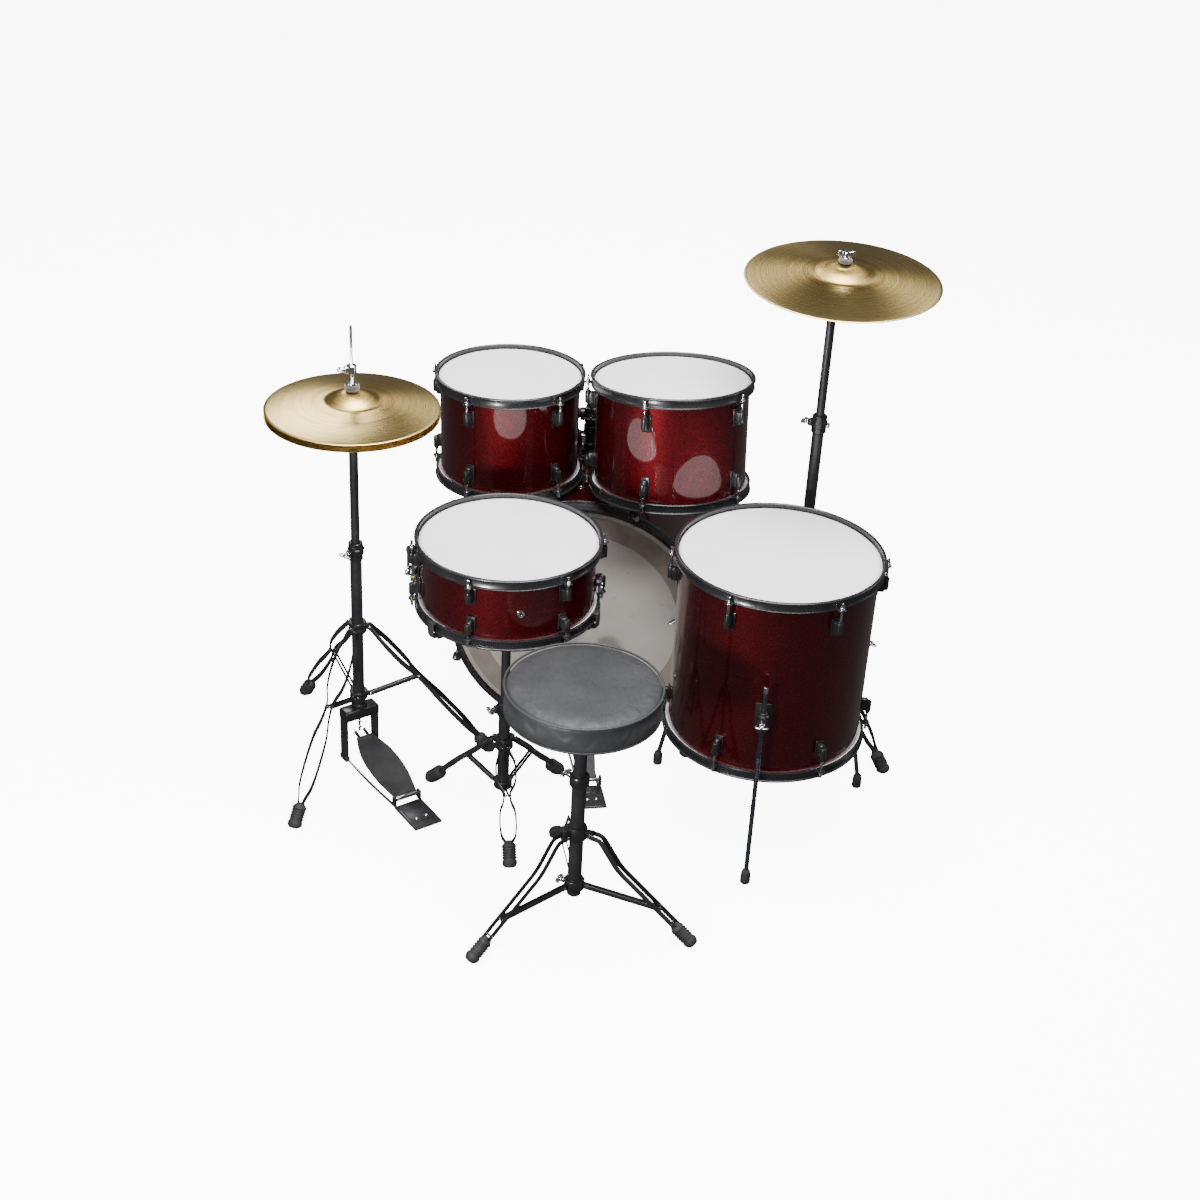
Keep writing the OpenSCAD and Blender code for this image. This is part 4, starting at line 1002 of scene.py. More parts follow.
def snare_stand():
    """Tripod, inner tube with its tilter, and the cradle."""
    base = shift(pivot("snare_tilt").x, pivot("snare_tilt").y)
    bottom = pivot("snare_tilt").z
    stand = Piece("snare_stand_tripod", "kit", "black_enamel", base, satin, casting, chrome, rubber)
    stand.add(collar(TUBE_R, 10.2, 58, 264, 1.2, 48))
    spread_tripod(stand, *SNARE_TRIPOD)
    clamp(stand, 248, 284, -150)
    stand.done("snare_stand_base")
    tube = Piece("snare_stand_inner_tube", "snare_stand_tube", "black_enamel", base, satin, casting, chrome)
    tube.add(pillar(INNER_R, 130, bottom - 26, 1.0, 40))
    tube.add(block(27, 22, 24, 3.5, 3), shift(0, 0, bottom - 21), 1)
    for side in (-1, 1):
        tube.add(collar(11, 4.1, -3, 3, 1, 40), shift(side * 10, 0, bottom) @ turn(90, "Y"), 1)
        tube.add(block(6, 21, 14, 1.2), shift(side * 10, 0, bottom - 10), 1)
    add_all(tube, wing_screw(5, 14, 6), [shift(13, 0, bottom)], 2)
    tube.done("snare_stand_tube")
    snare_basket(base, bottom)


def snare_basket(base, bottom):
    """Three arms that rise from the tilter and curl up to rubber grips round the lower hoop."""
    places = ring_of(3, BASKET_FIRST)
    under = low("snare_hoops").z
    hook = SNARE_R + 12.5
    arms = Piece("snare_stand_cradle", "snare", "black_enamel", base, satin, rubber, casting, chrome)
    arms.add(collar(9, 3.9, -5.4, 5.4, 1, 40), shift(0, 0, bottom) @ turn(90, "Y"), 2)
    arms.add(pillar(4, -14, 12, 0.8, 20), shift(0, 0, bottom) @ turn(90, "Y"), 3)
    arms.add(pillar(5.6, bottom + 5, under - 16, 1, 24), finish=2)
    arms.add(turned([(4, under - 24), (13, under - 24), (17, under - 21), (18, under - 15), (15, under - 9),
                     (4, under - 9)], 48), finish=2)
    z = under - 13.5
    for side in (-1, 1):
        line = curve([(14, side * 5, z - 3), (60, side * 8, z - 4), (hook - 40, side * 8, z - 1),
                      (hook - 8, side * 6, z)], 2)
        arms.add(drawn(line, 8, 3), places)
    arms.add(block(4, 20, 6, 1.5), each(places, hook - 14, 0, z), 2)
    grip = curve([(hook - 24, 0, z + 4), (hook - 6, 0, z + 2.5), (hook + 4, 0, z + 5), (hook + 5.2, 0, z + 18),
                  (hook + 4.6, 0, z + 34)], 2)
    arms.add(drawn(grip, 6.4, 19, 16, Vector((0.6, 0, 1))), places, 1)
    arms.add(block(12, 18, 4, 1.5), each(places, hook + 1.2, 0, z + 35.4), 1)
    arms.done("snare_stand_basket")


# ---- cymbals ----

def cymbal_outline(r, rise, hole, thick=1.4):
    """Bell, shoulder, bow and a slightly turned-down edge, top side out and underside back."""
    bell = r * 0.30
    points = []
    steps = 30
    for i in range(steps + 1):
        x = hole + (r - hole) * i / steps
        bow = rise * 0.45 * (1 - (x / r) ** 2)
        dome = rise * 0.55 * math.cos(math.pi / 2 * x / bell) ** 0.8 if x < bell else 0
        points.append((x, bow + dome))
    thin = [(x, z + thick * (1 if x < r * 0.6 else 0.85)) for x, z in points]
    return [*thin[:-1], (r - 0.3, thin[-1][1]), (r, thin[-1][1] - 0.4), (r, 0.2), (r - 0.3, 0), *points[-2::-1]]


def cymbal(name, node, body, r, rise, hole, place, axis, centre):
    """A cymbal whose grooves run round its axis, through its centre."""
    metal = bronze_finish(f"{name}_bronze", [c / 1000 for c in centre], axis, r * 0.0003, r / 1000)
    piece = Piece(name, body, "cymbal_bronze", place, metal)
    return piece.add(turned(cymbal_outline(r, rise, hole), 192)).done(node, sharp=50)


# Radius and rise of a hi-hat, the way the footboard points, and the way the height clamp faces
HAT_R = 178.0
HAT_RISE = 38.0
PEDAL_AIM = -51
CLAMP_AIM = -120


def hihat():
    """The two cymbals, tripod and upper tube, then the clutch and the pedal."""
    at = middle("hihat_top_cymbal")
    base = shift(at.x, at.y)
    centre = base.translation
    upper, lower = low("hihat_top_cymbal").z, high("hihat_bottom_cymbal").z
    cymbal("hihat_upper_plate", "hihat_top_cymbal", "hihat_rod", HAT_R, HAT_RISE, 6.5, base @ shift(0, 0, upper),
           (0, 0, 1), centre)
    cymbal("hihat_lower_plate", "hihat_bottom_cymbal", "hihat_tube", HAT_R, HAT_RISE, 6.5,
           base @ shift(0, 0, lower) @ turn(180, "X"), (0, 0, 1), centre)
    stand = Piece("hihat_stand_tripod", "kit", "black_enamel", base, satin, casting, chrome, rubber)
    stand.add(collar(TUBE_R, 10.2, 132, 505, 1.2, 48))
    spread_tripod(stand, *HIHAT_TRIPOD)
    clamp(stand, 503, 545, CLAMP_AIM, sleeve=15.5)
    stand.done("hihat_stand_base")
    seat = lower - HAT_RISE - 9
    tube = Piece("hihat_upper_tube", "hihat_tube", "black_enamel", base, satin, chrome, felt)
    tube.add(collar(INNER_R, 6, 300, seat, 1, 48))
    tube.add(turned([(6, seat - 14), (11, seat - 14), (12.5, seat - 12), (12.5, seat - 2), (19, seat),
                     (20, seat + 1.4), (20, seat + 3), (18, seat + 4), (6, seat + 4)], 64))
    tube.add(collar(16.4, 5.2, seat + 4, seat + 7, 1.2, 48), finish=2)
    tube.done("hihat_tube")
    hihat_clutch(base, upper)
    hihat_pedal(base)


def hihat_clutch(base, upper):
    """The pull rod with its chain below, and the clutch: lock nut, two felts, sleeve and wing screw."""
    z = upper + HAT_RISE + 1.4
    top = high("hihat_rod").z
    rod = Piece("hihat_pull_rod", "hihat_rod", "chrome_plate", base, chrome, felt, casting)
    rod.add(pillar(3, 112, top, 1.0, 20))
    rod.add(collar(5.8, 2.95, z - 14, z + 56, 0.6, 32))
    for thread in range(16):
        rod.add(collar(6.2, 5, z + 15 + thread * 2.4, z + 16.4 + thread * 2.4, 0.6, 32))
    rod.add(turned([(5.6, z - 12), (10, z - 12), (11, z - 11), (11, z - 9), (10, z - 8), (5.6, z - 8)], 6))
    rod.add(turned([(5.6, z + 0.6), (14, z + 0.6), (15.5, z + 3), (15, z + 6), (5.6, z + 6.4)], 48), finish=1)
    rod.add(turned([(5.6, z + 6.6), (15, z + 6.8), (15.5, z + 10), (14, z + 13), (5.6, z + 13)], 48), finish=1)
    rod.add(turned([(5.6, z + 13.4), (11, z + 13.4), (12, z + 15), (11, z + 17), (5.6, z + 17)], 32))
    rod.add(collar(10.2, 5.7, z + 36, z + 55, 1.6, 40))
    rod.add(block(12, 13, 14, 2.4, 3), turn(200, "Z") @ shift(9, 0, z + 45))
    add_all(rod, wing_screw(4, 12, 5), [turn(200, "Z") @ shift(13, 0, z + 45)])
    side = turn(PEDAL_AIM, "Z")
    rod.add(block(12, 12, 8, 2), side @ shift(0, 0, 116), 2)
    for link in range(7):
        height = 70 + link * 7
        pair = side @ shift(0, 0, height) @ (turn(90, "X") if link % 2 else turn(90, "Y"))
        for half in (-1, 1):
            rod.add(block(3.2, 8.6, 1.1, 0.5), pair @ shift(0, 0, half * 2.2) @ turn(90, "Z"))
        rod.add(pillar(2.0, -2.9, 2.9, 0.5, 12), pair @ shift(3, 0, 0))
    rod.done("hihat_rod")


def tread(name, body, base, long, wide, neck, steps):
    """A cast footboard seen from above along +X: broad, waisted towards the toe, ribbed, with a raised rim."""
    board = Piece(name, body, "black_enamel", base, worn, casting, chrome)
    outline = curve([(4, wide * 0.34, 0), (long * 0.14, wide * 0.40, 0), (long * 0.34, wide * 0.5, 0),
                     (long * 0.66, wide * 0.5, 0), (long * 0.86, neck * 0.66, 0), (long, neck * 0.42, 0)], 2)
    bm = bmesh.new()
    upper = [bm.verts.new(p) for p in outline]
    lower = [bm.verts.new((p.x, -p.y, 0)) for p in reversed(outline)]
    face = bm.faces.new(upper + lower)
    bmesh.ops.recalc_face_normals(bm, faces=[face])
    if face.normal.z < 0:
        face.normal_flip()
    bmesh.ops.inset_region(bm, faces=[face], thickness=2.6, depth=-1.4)
    bmesh.ops.solidify(bm, geom=bm.faces[:], thickness=4.4)
    bmesh.ops.recalc_face_normals(bm, faces=bm.faces)
    board.add(bm, shift(0, 0, 2.2))
    for i in range(steps):
        x = long * 0.10 + i * long * 0.62 / steps
        half = wide * (0.26 + 0.14 * min(1, i / 4))
        board.add(block(2.2, half * 2, 1.6, 0.6), shift(x, 0, 1.6))
    for x in (long * 0.16, long * 0.5):
        for y in (-wide * 0.28, 0, wide * 0.28):
            board.add(collar(5.2, 3.4, 0.6, 2.6, 0.6, 24), shift(x + long * 0.06, y, 0), 1)
    return board


def heel_plate(piece, place, wide, long, rivets):
    """The flat heel, drawn outwards from the hinge: a bevelled plate with a raised lip and two bright rivets."""
    piece.add(block(long, wide, 6.4, 2.4, 3), place @ shift(long / 2, 0, 3.4))
    piece.add(block(long * 0.55, wide * 0.8, 1.6, 0.7), place @ shift(long * 0.52, 0, 7.0))
    for y in (-1, 1):
        dome = turned([(0, 2.6), (2.4, 2.2), (4.2, 1.0), (4.6, 0), (0, 0)], 24)
        piece.add(dome, place @ shift(long * 0.66, y * rivets, 7.4), 2)
    for i in range(7):
        piece.add(block(1.4, wide * 0.72, 1.2, 0.4, 1), place @ shift(8 + i * 3.2, 0, 6.9))


def hihat_pedal(base):
    """Frame, spring housings, radius rods, heel plate and the hinged footboard."""
    side = base @ turn(PEDAL_AIM, "Z")
    heel = pivot("hihat_footboard_hinge").z
    heel_r = (pivot("hihat_footboard_hinge") - base.translation).to_2d().length
    frame_piece = Piece("hihat_pedal_cradle", "kit", "black_enamel", side, satin, casting, chrome, rubber)
    for y in (-38, 38):
        frame_piece.add(block(28, 8, 116, 2.6), shift(0, y, 59))
        frame_piece.add(block(30, 12, 12, 3), shift(0, y, 6.6), 3)
    frame_piece.add(block(36, 84, 25, 5, 3), shift(0, 0, 119), 1)
    frame_piece.add(collar(17, 12.8, 126, 142, 2, 48), finish=1)
    for y in (-1, 1):
        frame_piece.add(drawn(curve([(10, y * 36, 6), (heel_r * 0.5, y * 37, 5), (heel_r + 8, y * 30, 6)]), 6),
                        finish=2)
        frame_piece.add(block(14, 6, 24, 2), shift(heel_r + 1, y * 30, 15), 1)
    heel_plate(frame_piece, shift(heel_r + 4, 0), 66, 94, 12)
    frame_piece.done("hihat_pedal_frame")
    toe = 66
    rise = math.degrees(math.atan2(toe - heel, heel_r))
    place = side @ shift(heel_r, 0, heel) @ turn(rise - 180, "Y") @ turn(180, "X")
    board = tread("hihat_ribbed_footboard", "hihat_footboard", place, 198, 78, 44, 14)
    board.add(pillar(4.9, -26, 26, 0.8, 24), turn(90, "X"), 2)
    for y in (-11, 11):
        board.add(block(27, 7, 5.6, 1.6), shift(207, y, 0), 1)
    board.done("hihat_footboard")


# ---- crash cymbal and its stand ----

# The tilter's hinge stands TILTER_OUT beside the tube, and the cymbal lies TILT_DROP above the hinge
CRASH_R = 203.0
CRASH_RISE = 36.0
TILT_DROP = 26
TILTER_OUT = 14
CRASH_CLAMP = 779


def crash():
    """The cymbal, tripod, upper tube with its forked tilter, and the seat with felts and wing nut."""
    at = pivot("crash_tilt")
    base = shift(at.x - TILTER_OUT, at.y)
    axis = Vector(joints["crash_spin"]["axis"])
    head = Matrix.Translation(at) @ turn(math.degrees(math.atan2(-axis.y, axis.z)), "X")
    cymbal("crash_plate", "crash_cymbal", "crash_cymbal", CRASH_R, CRASH_RISE, 6, head @ shift(0, 0, TILT_DROP),
           tuple(axis), head @ Vector((0, 0, TILT_DROP)))
    stand = Piece("crash_stand_tripod", "kit", "black_enamel", base, satin, casting, chrome, rubber)
    stand.add(collar(TUBE_R, 10.2, 60, CRASH_CLAMP, 1.2, 48))
    spread_tripod(stand, *CRASH_TRIPOD)
    clamp(stand, CRASH_CLAMP - 10, CRASH_CLAMP + 30, 160)
    stand.done("crash_stand_base")
    tube = Piece("crash_stand_upper_tube", "crash_stand_tube", "black_enamel", base, satin, casting, chrome)
    tube.add(pillar(INNER_R, 520, at.z - 22, 1, 40))
    tube.add(turned([(9, at.z - 44), (12, at.z - 42), (13, at.z - 30), (11, at.z - 14), (0, at.z - 14),
                     (0, at.z - 44)], 40), finish=1)
    tube.add(block(36, 20, 14, 2.5, 3), shift(8.5, 0, at.z - 20), 1)
    for x in (TILTER_OUT - 10, TILTER_OUT + 10):
        tube.add(collar(11, 4.1, -3, 3, 1, 40), shift(x, 0, at.z) @ turn(90, "Y"), 1)
        tube.add(block(6, 20, 20, 1.4), shift(x, 0, at.z - 14), 1)
    add_all(tube, wing_screw(6, 14, 6), [shift(TILTER_OUT + 12, 0, at.z)], 2)
    tube.done("crash_stand_tube")
    top = TILT_DROP + CRASH_RISE
    tilter = Piece("crash_seat_and_nut", "crash_tilter", "chrome_plate", head, chrome, felt, casting)
    tilter.add(collar(9, 3.9, -6.4, 6.4, 1, 40), turn(90, "Y"), 2)
    tilter.add(pillar(4, -12, 12, 0.8, 20), turn(90, "Y"))
    tilter.add(pillar(4, 0, top + 33, 1.2, 24))
    tilter.add(turned([(3.9, top - 16), (14, top - 14), (16, top - 13), (16, top - 11.4), (3.9, top - 11)],
                      48))
    tilter.add(collar(14, 3.9, top - 11, top - 2.6, 2.4, 48), finish=1)
    tilter.add(collar(14, 3.9, top + 3, top + 13, 3, 48), finish=1)
    tilter.add(turned([(3.9, top + 13), (9.5, top + 13), (9.5, top + 15), (7.6, top + 17), (6.6, top + 25),
                       (3.9, top + 26)], 32))
    for side in (-1, 1):
        tilter.add(block(14, 3.6, 12, 1.6, 3), shift(side * 11, 0, top + 21) @ turn(side * -18, "Y"))
    tilter.done("crash_tilter")


# ---- throne ----

# A leg's bends, as (distance from the tube, height): hinge, shoulder, knee, foot, and the pin of its brace
THRONE_FIRST = 104
HINGE_R = 28
SHOULDER, KNEE, FOOT = (52, 197), (92, 137), (240, 18)
BRACE_END = (182, 67)
OUTER_RIVET = (210, 42)
SEAT_R = 157.0
SWELL = 0.0028


def throne():
    """Outer tube, height post, sliding collar, three legs with their braces, and the seat."""
    at = pivot("throne_spin")
    base = shift(at.x, at.y)
    hub_z, low_z = pivot("throne_fold").z, pivot("throne_brace_1_hinge").z
    lock = high("throne_base").z - 18
    plate = low("throne_seat_plate").z
    frame_piece = Piece("throne_outer_tube", "kit", "black_enamel", base, satin, casting, chrome)
    frame_piece.add(collar(14.3, 12.75, 46, lock + 2, 0.8, 48))
    frame_piece.add(turned([(14.2, hub_z - 15), (19, hub_z - 15), (21, hub_z - 12), (21, hub_z + 9),
                            (18.5, hub_z + 15), (14.2, hub_z + 17)], 64), finish=1)
    places = ring_of(3, THRONE_FIRST)
    frame_piece.add(block(17, 11.6, 18, 2.4), each(places, 26, 0, hub_z), 1)
    frame_piece.add(turned([(12.8, lock - 6), (18, lock - 6), (20, lock - 3), (20, lock + 14), (17.5, lock + 18),
                            (12.8, lock + 18)], 64), finish=1)
    add_all(frame_piece, wing_screw(8, 15, 6), [turn(150, "Z") @ shift(18, 0, lock + 8)], 2)
    frame_piece.done("throne_base")
    post = Piece("throne_height_post", "throne_post", "black_enamel", base, satin, casting)
    post.add(pillar(12.65, 170, plate - 4, 1, 48))
    post.add(turned([(0, plate - 34), (15, plate - 34), (17, plate - 31), (17, plate - 2), (15, plate - 0.4),
                     (0, plate - 0.4)], 48), finish=1)
    post.done("throne_post")
    slide = Piece("throne_sliding_collar", "throne_collar", "black_enamel", base, casting, chrome)
    slide.add(turned([(14.4, low_z - 13), (19, low_z - 13), (20.5, low_z - 10), (20.5, low_z + 9),
                      (18.5, low_z + 12), (14.4, low_z + 12)], 64))
    slide.add(block(15, 6, 16, 1.6), each(places, 26, 0, low_z))
    add_all(slide, wing_screw(8, 14, 6), [turn(THRONE_FIRST + 60, "Z") @ shift(18, 0, low_z)], 1)
    slide.done("throne_collar")
    for i in range(3):
        throne_leg(base @ turn(THRONE_FIRST + i * 120, "Z"), i + 1, hub_z, low_z)
    throne_seat(base, plate)


def throne_leg(place, number, hub_z, low_z):
    """One folding leg with its knee, ribbed boot and rivets, and the brace that spreads it."""
    hinge = (HINGE_R, hub_z)
    slope = (KNEE[1] - FOOT[1]) / (FOOT[0] - KNEE[0])
    end = (FOOT[0] - 12, FOOT[1] + 12 * slope)
    leg = Piece(f"throne_bent_leg_{number}", f"throne_leg_{number}", "black_enamel", place, satin, rubber, chrome)
    points = [hinge, between(hinge, SHOULDER, 0.6), SHOULDER, between(SHOULDER, KNEE, 0.5), KNEE,
              between(KNEE, FOOT, 0.2), end]
    for strip in strips(points, (8.4, 8.4, 8.4, 8.4, 8.4, 8.4, 8.0), 13, 2.6):
        leg.add(strip)
    for pin, length in ((hinge, 19), (OUTER_RIVET, 17)):
        part, spot = rivet(*pin, length)
        leg.add(part, spot, 2)
    leg.add(boot(FOOT[0], slope, 14.5, 52), finish=1)
    leg.done(f"throne_leg_{number}")
    brace = Piece(f"throne_spreader_{number}", f"throne_brace_{number}", "black_enamel", place, satin, chrome)
    for side in (-1, 1):
        ends = [(HINGE_R - 4, side * 4.6, low_z), (BRACE_END[0] + 4, side * 4.6, BRACE_END[1])]
        brace.add(drawn(ends, 11, 2.0))
    for x, z in ((HINGE_R, low_z), BRACE_END):
        part, spot = rivet(x, z, 10.6, 3.2)
        brace.add(part, spot, 1)
    brace.done(f"throne_brace_{number}")


def stuffed(piece, bottom):
    """Inflates a closed cover a little, its underside held to the board, and caps how far it may swell."""
    mesh = piece.data
    rest = [v.co.copy() for v in mesh.vertices]
    held = piece.vertex_groups.new(name="board")
    held.add([v.index for v in mesh.vertices if v.co.z < bottom + 0.008], 1.0, "REPLACE")
    cloth = piece.modifiers.new("stuffing", "CLOTH")
    settings = cloth.settings
    settings.use_pressure = True
    settings.uniform_pressure_force = 4.0
    settings.vertex_group_mass = "board"
    settings.effector_weights.gravity = 0
    for number in range(1, 21):
        bpy.context.scene.frame_set(number)
    swollen = piece.evaluated_get(bpy.context.evaluated_depsgraph_get()).data
    moved = [v.co.copy() for v in swollen.vertices]
    piece.modifiers.remove(cloth)
    for vertex, was, now in zip(mesh.vertices, rest, moved):
        push = now - was
        if push.length > SWELL:
            push *= SWELL / push.length
        vertex.co = was + push
    bpy.context.scene.frame_set(1)


def throne_seat(base, plate):
    """Board, stuffed vinyl cover and the piping sewn round its upper edge."""
    board = Piece("throne_seat_board", "throne_seat", "seat_board", base, worn, casting, chrome)
    board.add(turned([(0, plate), (39, plate), (40, plate + 1), (40, plate + 3), (0, plate + 3)], 64), finish=1)
    r = SEAT_R - 22
    board.add(turned([(0, plate + 3), (r - 1.4, plate + 3), (r, plate + 4.2), (r, plate + 8.6),
                      (0, plate + 8.6)], 128))
    for place in ring_of(4, 45):
        board.add(pillar(4.2, -1.8, 0.4, 0.9, 20), place @ shift(32, 0, plate), 2)
    board.done("throne_seat_plate")
    bottom, top = low("throne_cushion").z, high("throne_cushion").z
    cover = Piece("throne_stuffed_cover", "throne_seat", "seat_vinyl", base, vinyl)
    edge = SEAT_R - 6.5
    cover.add(turned([(0, bottom + 0.4), (edge - 12, bottom + 0.4), (edge - 4, bottom + 2.5),
                      (edge, bottom + 9), (edge + 1, bottom + 26), (edge + 0.4, top - 15), (edge - 1, top - 8.6),
                      (edge - 5, top - 5.6), (edge - 16, top - 4.2), (edge * 0.6, top - 3.4), (0, top - 3.2)], 96))
    piece = cover.done("throne_cushion", sharp=180)
    bpy.context.view_layer.objects.active = piece
    remesh = piece.modifiers.new("even", "REMESH")
    remesh.mode = "VOXEL"
    remesh.voxel_size = 0.005
    even = bpy.data.meshes.new_from_object(piece.evaluated_get(bpy.context.evaluated_depsgraph_get()))
    piece.modifiers.remove(remesh)
    piece.data = even
    even.materials.clear()
    even.materials.append(vinyl)
    stuffed(piece, bottom / 1000)
    even.shade_smooth()
    smooth = piece.modifiers.new("smooth", "SUBSURF")
    smooth.levels = 1
    smooth.render_levels = 1
    piping = Piece("throne_piping", "throne_seat", "seat_vinyl", base, vinyl)
    around = [(edge - 0.6 + 2.3 * math.cos(math.radians(a)), top - 6.6 + 2.3 * math.sin(math.radians(a)))
              for a in range(0, 360, 30)]
    piping.add(turned(around, 160))
    hem = [(edge - 1.8 + 2.2 * math.cos(math.radians(a)), bottom + 5 + 2.2 * math.sin(math.radians(a)))
           for a in range(0, 360, 30)]
    piping.add(turned(hem, 160))
    piping.done(sharp=80)


# ---- kick pedal ----

# How far the kick pedal is turned out of the bass drum's axis, the footboard's rise, and the beater's lean
PEDAL_TURN = 14
BOARD_RISE = 54
BEATER_LEAN = turn(-35, "Y")


def kick():
    """Cast frame, axle, beater, chain strap and footboard, with x pointing from the heel to the drum."""
    origin = bass_base().translation
    side = shift(origin.x, origin.y) @ turn(PEDAL_TURN + 90, "Z")
    axle = side.inverted() @ pivot("kick_beater_swing")
    heel = side.inverted() @ pivot("kick_pedal")
    frame_piece = Piece("kick_pedal_cast_frame", "kit", "black_enamel", side, casting, satin, chrome, rubber)
    frame_piece.add(block(72, 92, 2.8, 0.9), shift(-8, 0, 1.6), 1)
    frame_piece.add(block(7, 24, 16, 2), shift(-8.5, 0, 9))
    frame_piece.add(block(19, 24, 4.4, 1.4), shift(-2.5, 0, 14.8))
    for y in (-42, 42):
        frame_piece.add(block(14, 8, axle.z + 4, 2.4), shift(axle.x, y, axle.z / 2 + 2))
        frame_piece.add(collar(13, 5.1, -5, 5, 1.4, 40), shift(axle.x, y, axle.z) @ turn(90, "X"))
        frame_piece.add(drawn(curve([(axle.x + 20, y, 6), (axle.x + 6, y, 30), (axle.x, y, 60)]), 9, 6))
    for y in (-1, 1):
        frame_piece.add(drawn([(-40, y * 24, 4.5), (heel.x - 6, y * 22, 4.5)], 6), finish=2)
        frame_piece.add(block(12, 6, 24, 1.8), shift(heel.x, y * 27, 15))
    heel_plate(frame_piece, shift(heel.x - 4, 0) @ turn(180, "Z"), 60, 80, 10)
    frame_piece.done("kick_pedal_frame")
    rise = math.degrees(math.atan2(BOARD_RISE, axle.x - heel.x))
    place = side @ shift(heel.x, 0, heel.z) @ turn(-rise, "Y")
    board = tread("kick_ribbed_footboard", "kick_footboard", place, 190, 50, 32, 13)
    board.add(pillar(4.4, -23.4, 23.4, 0.8, 24), turn(90, "X"), 2)
    strap = place.inverted() @ side
    foot = heel.z + BOARD_RISE
    for link in range(6):
        board.add(block(3, 10, 5.6, 1), strap @ shift(axle.x + 2.5, 0, foot - 1 + link * 8), 2)
        for y in (-4.6, 4.6):
            board.add(block(3.2, 1.4, 8.6, 0.6), strap @ shift(axle.x + 2.5, y, foot + 3 + link * 8), 2)
    board.done("kick_footboard")
    kick_beater(side, axle)


def kick_beater(side, axle):
    """Axle, hub and the felt beater on its rod."""
    beater = Piece("kick_felt_beater", "kick_beater", "chrome_plate", side, chrome, felt, casting)
    at = Matrix.Translation(axle)
    beater.add(pillar(5, -48, 48, 0.8, 24), at @ turn(90, "X"))
    beater.add(turned([(5, -12), (13, -12), (14, -10), (14, 10), (13, 12), (5, 12)], 40), at @ turn(90, "X"), 2)
    stick = at @ BEATER_LEAN
    beater.add(block(14, 16, 24, 3, 3), stick @ shift(0, 0, 8), 2)
    beater.add(pillar(3.4, -16, 162, 1, 20), stick)
    beater.add(turned([(0, -18), (17, -18), (21, -15), (22, -8), (22, 8), (21, 15), (17, 18), (0, 18)], 64),
               stick @ shift(0, 0, 150) @ turn(90, "Y"), 1)
    beater.add(collar(8, 3, -2, 3, 1, 32), stick @ shift(0, 0, 172))
    beater.done("kick_beater")


# ---- pieces kept as they come from the frame ----

def dress_snare_wires():
    """Gives the wires, the one node that still shows, their finish."""
    mesh = frame["nodes"]["snare_wires"].data
    mesh.materials.clear()
    mesh.materials.append(chrome)


# ---- floor, light and camera ----

FLOOR_RADIUS = 14
FLOOR_GLOW = 9.0

# Strength of the sky for lighting, in reflections, and as the backdrop
SKY_LIGHT = 0.36
SKY_MIRRORED = 0.10
SKY_SEEN = 9.0

# Name, place, aim, size and power of each lamp
LIGHTS = (("key", (-0.62, -1.55, 0.78), (-0.12, 0.35, 0.72), 0.24, 24),
          ("front", (-0.9, -2.4, 2.3), (0.0, 0.0, 0.5), 0.9, 24),
          ("overhead", (0.2, -0.4, 3.4), (0.0, 0.1, 0.4), 2.6, 265),
          ("left_fill", (-3.2, -1.6, 2.2), (0.0, 0.0, 0.5), 1.2, 9),
          ("right_rim", (3.0, 0.8, 1.8), (0.3, 0.0, 0.6), 1.0, 12),
          ("back", (-1.6, 3.0, 3.0), (0.0, 0.0, 0.6), 1.2, 34))

# The camera: place, three angles in degrees, focal length and shift
EYE = (0.2039, -3.3146, 2.400)
YAW, PITCH, ROLL = 3.07, 30.19, 3.18
LENS = 55.0
SHIFT = (-0.0017, 0.0020)


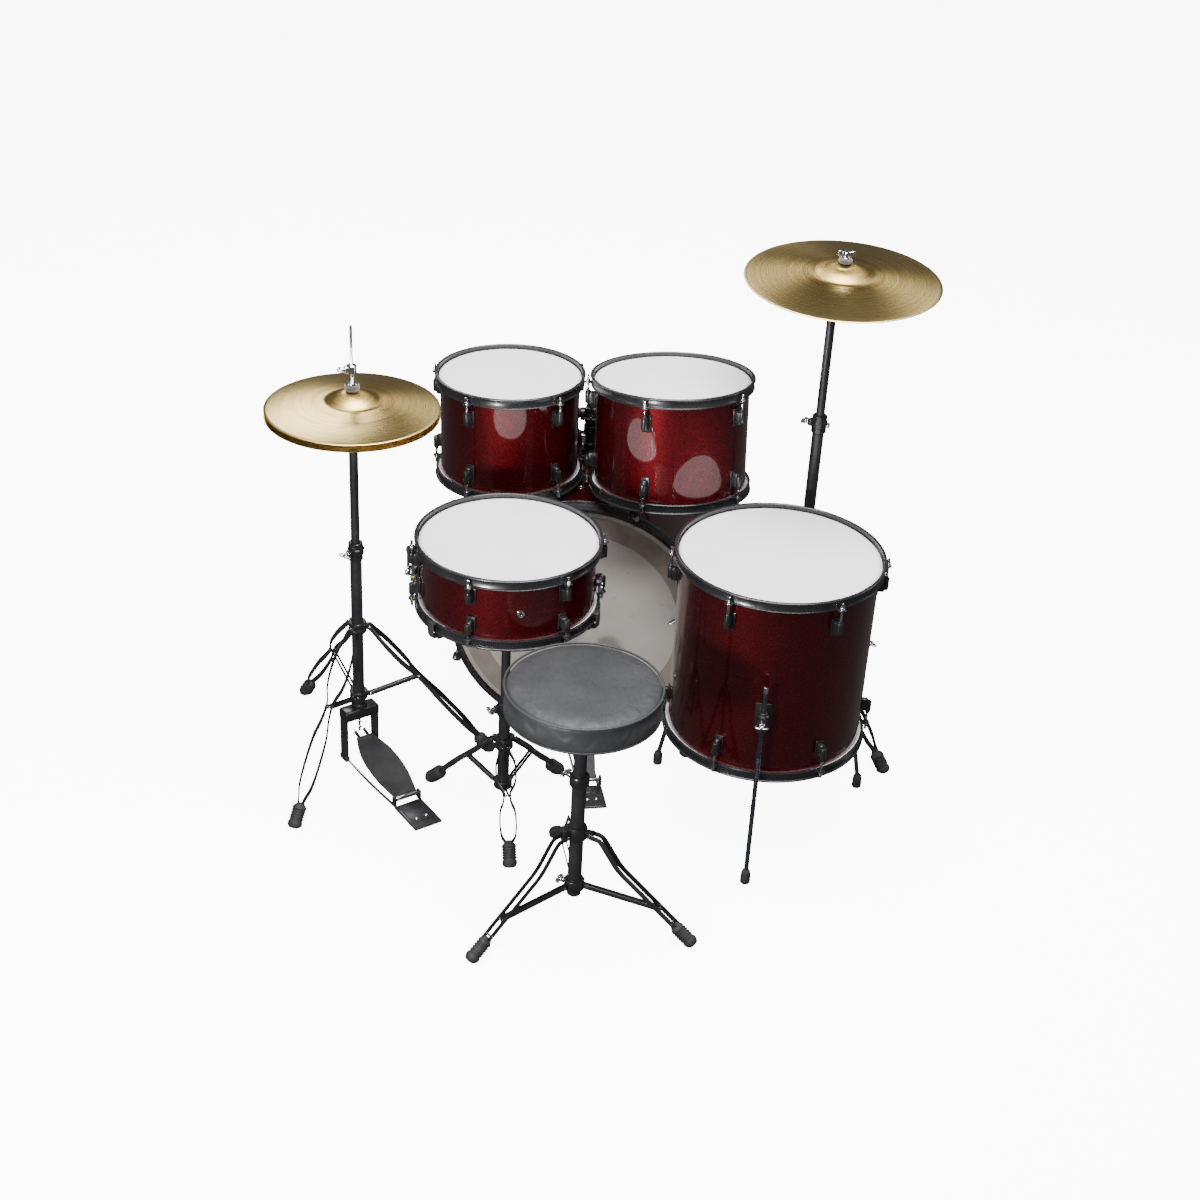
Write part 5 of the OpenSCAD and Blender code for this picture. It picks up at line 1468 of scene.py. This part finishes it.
def studio():
    """A plain pale floor, a bright even backdrop, soft lights and a small key lamp low on the left."""
    bm = bmesh.new()
    bmesh.ops.create_circle(bm, cap_ends=True, segments=64, radius=FLOOR_RADIUS)
    mesh = bpy.data.meshes.new("floor")
    bm.to_mesh(mesh)
    bm.free()
    floor = bpy.data.objects.new("floor", mesh)
    bpy.context.scene.collection.objects.link(floor)
    floor.location.z = -0.001
    paint = Finish("pale_floor", 0.9, Emission_Color=(1, 1, 1, 1), Emission_Strength=FLOOR_GLOW)
    paint.colours(paint.noise(1.5), (0.3, (0.86, 0.86, 0.86)), (0.7, (0.88, 0.88, 0.88)))
    mesh.materials.append(paint.material)
    floor.visible_glossy = False
    floor.visible_diffuse = False
    world = bpy.data.worlds.new("studio")
    bpy.context.scene.world = world
    world.use_nodes = True
    tree = world.node_tree
    sky = tree.nodes["Background"]
    sky.inputs["Color"].default_value = (1, 1, 1, 1)
    path = tree.nodes.new("ShaderNodeLightPath")
    mirrored = tree.nodes.new("ShaderNodeMapRange")
    mirrored.inputs["To Min"].default_value = SKY_LIGHT
    mirrored.inputs["To Max"].default_value = SKY_MIRRORED
    tree.links.new(path.outputs["Is Glossy Ray"], mirrored.inputs["Value"])
    strength = tree.nodes.new("ShaderNodeMapRange")
    strength.inputs["To Max"].default_value = SKY_SEEN
    tree.links.new(mirrored.outputs["Result"], strength.inputs["To Min"])
    tree.links.new(path.outputs["Is Camera Ray"], strength.inputs["Value"])
    tree.links.new(strength.outputs["Result"], sky.inputs["Strength"])
    for name, place, aim, size, power in LIGHTS:
        lamp = bpy.data.lights.new(name, "AREA")
        lamp.shape = "DISK"
        lamp.size = size
        lamp.energy = power
        light = bpy.data.objects.new(name, lamp)
        bpy.context.scene.collection.objects.link(light)
        light.location = place
        light.rotation_euler = (Vector(aim) - Vector(place)).to_track_quat("-Z", "Y").to_euler()


def camera():
    """The camera, high behind the drummer."""
    data = bpy.data.cameras.new("camera")
    data.lens = LENS
    data.sensor_width = 36.0
    data.shift_x, data.shift_y = SHIFT
    eye = bpy.data.objects.new("camera", data)
    bpy.context.scene.collection.objects.link(eye)
    look = turn(YAW, "Z") @ turn(90 - PITCH, "X") @ turn(ROLL, "Z")
    eye.matrix_world = Matrix.Translation(EYE) @ look
    bpy.context.scene.camera = eye


camera()
studio()
bass_drum()
spurs()
tom_mount()
tom_arms()
rack_toms()
floor_tom()
floor_tom_legs()
snare()
snare_stand()
hihat()
crash()
throne()
kick()
dress_snare_wires()
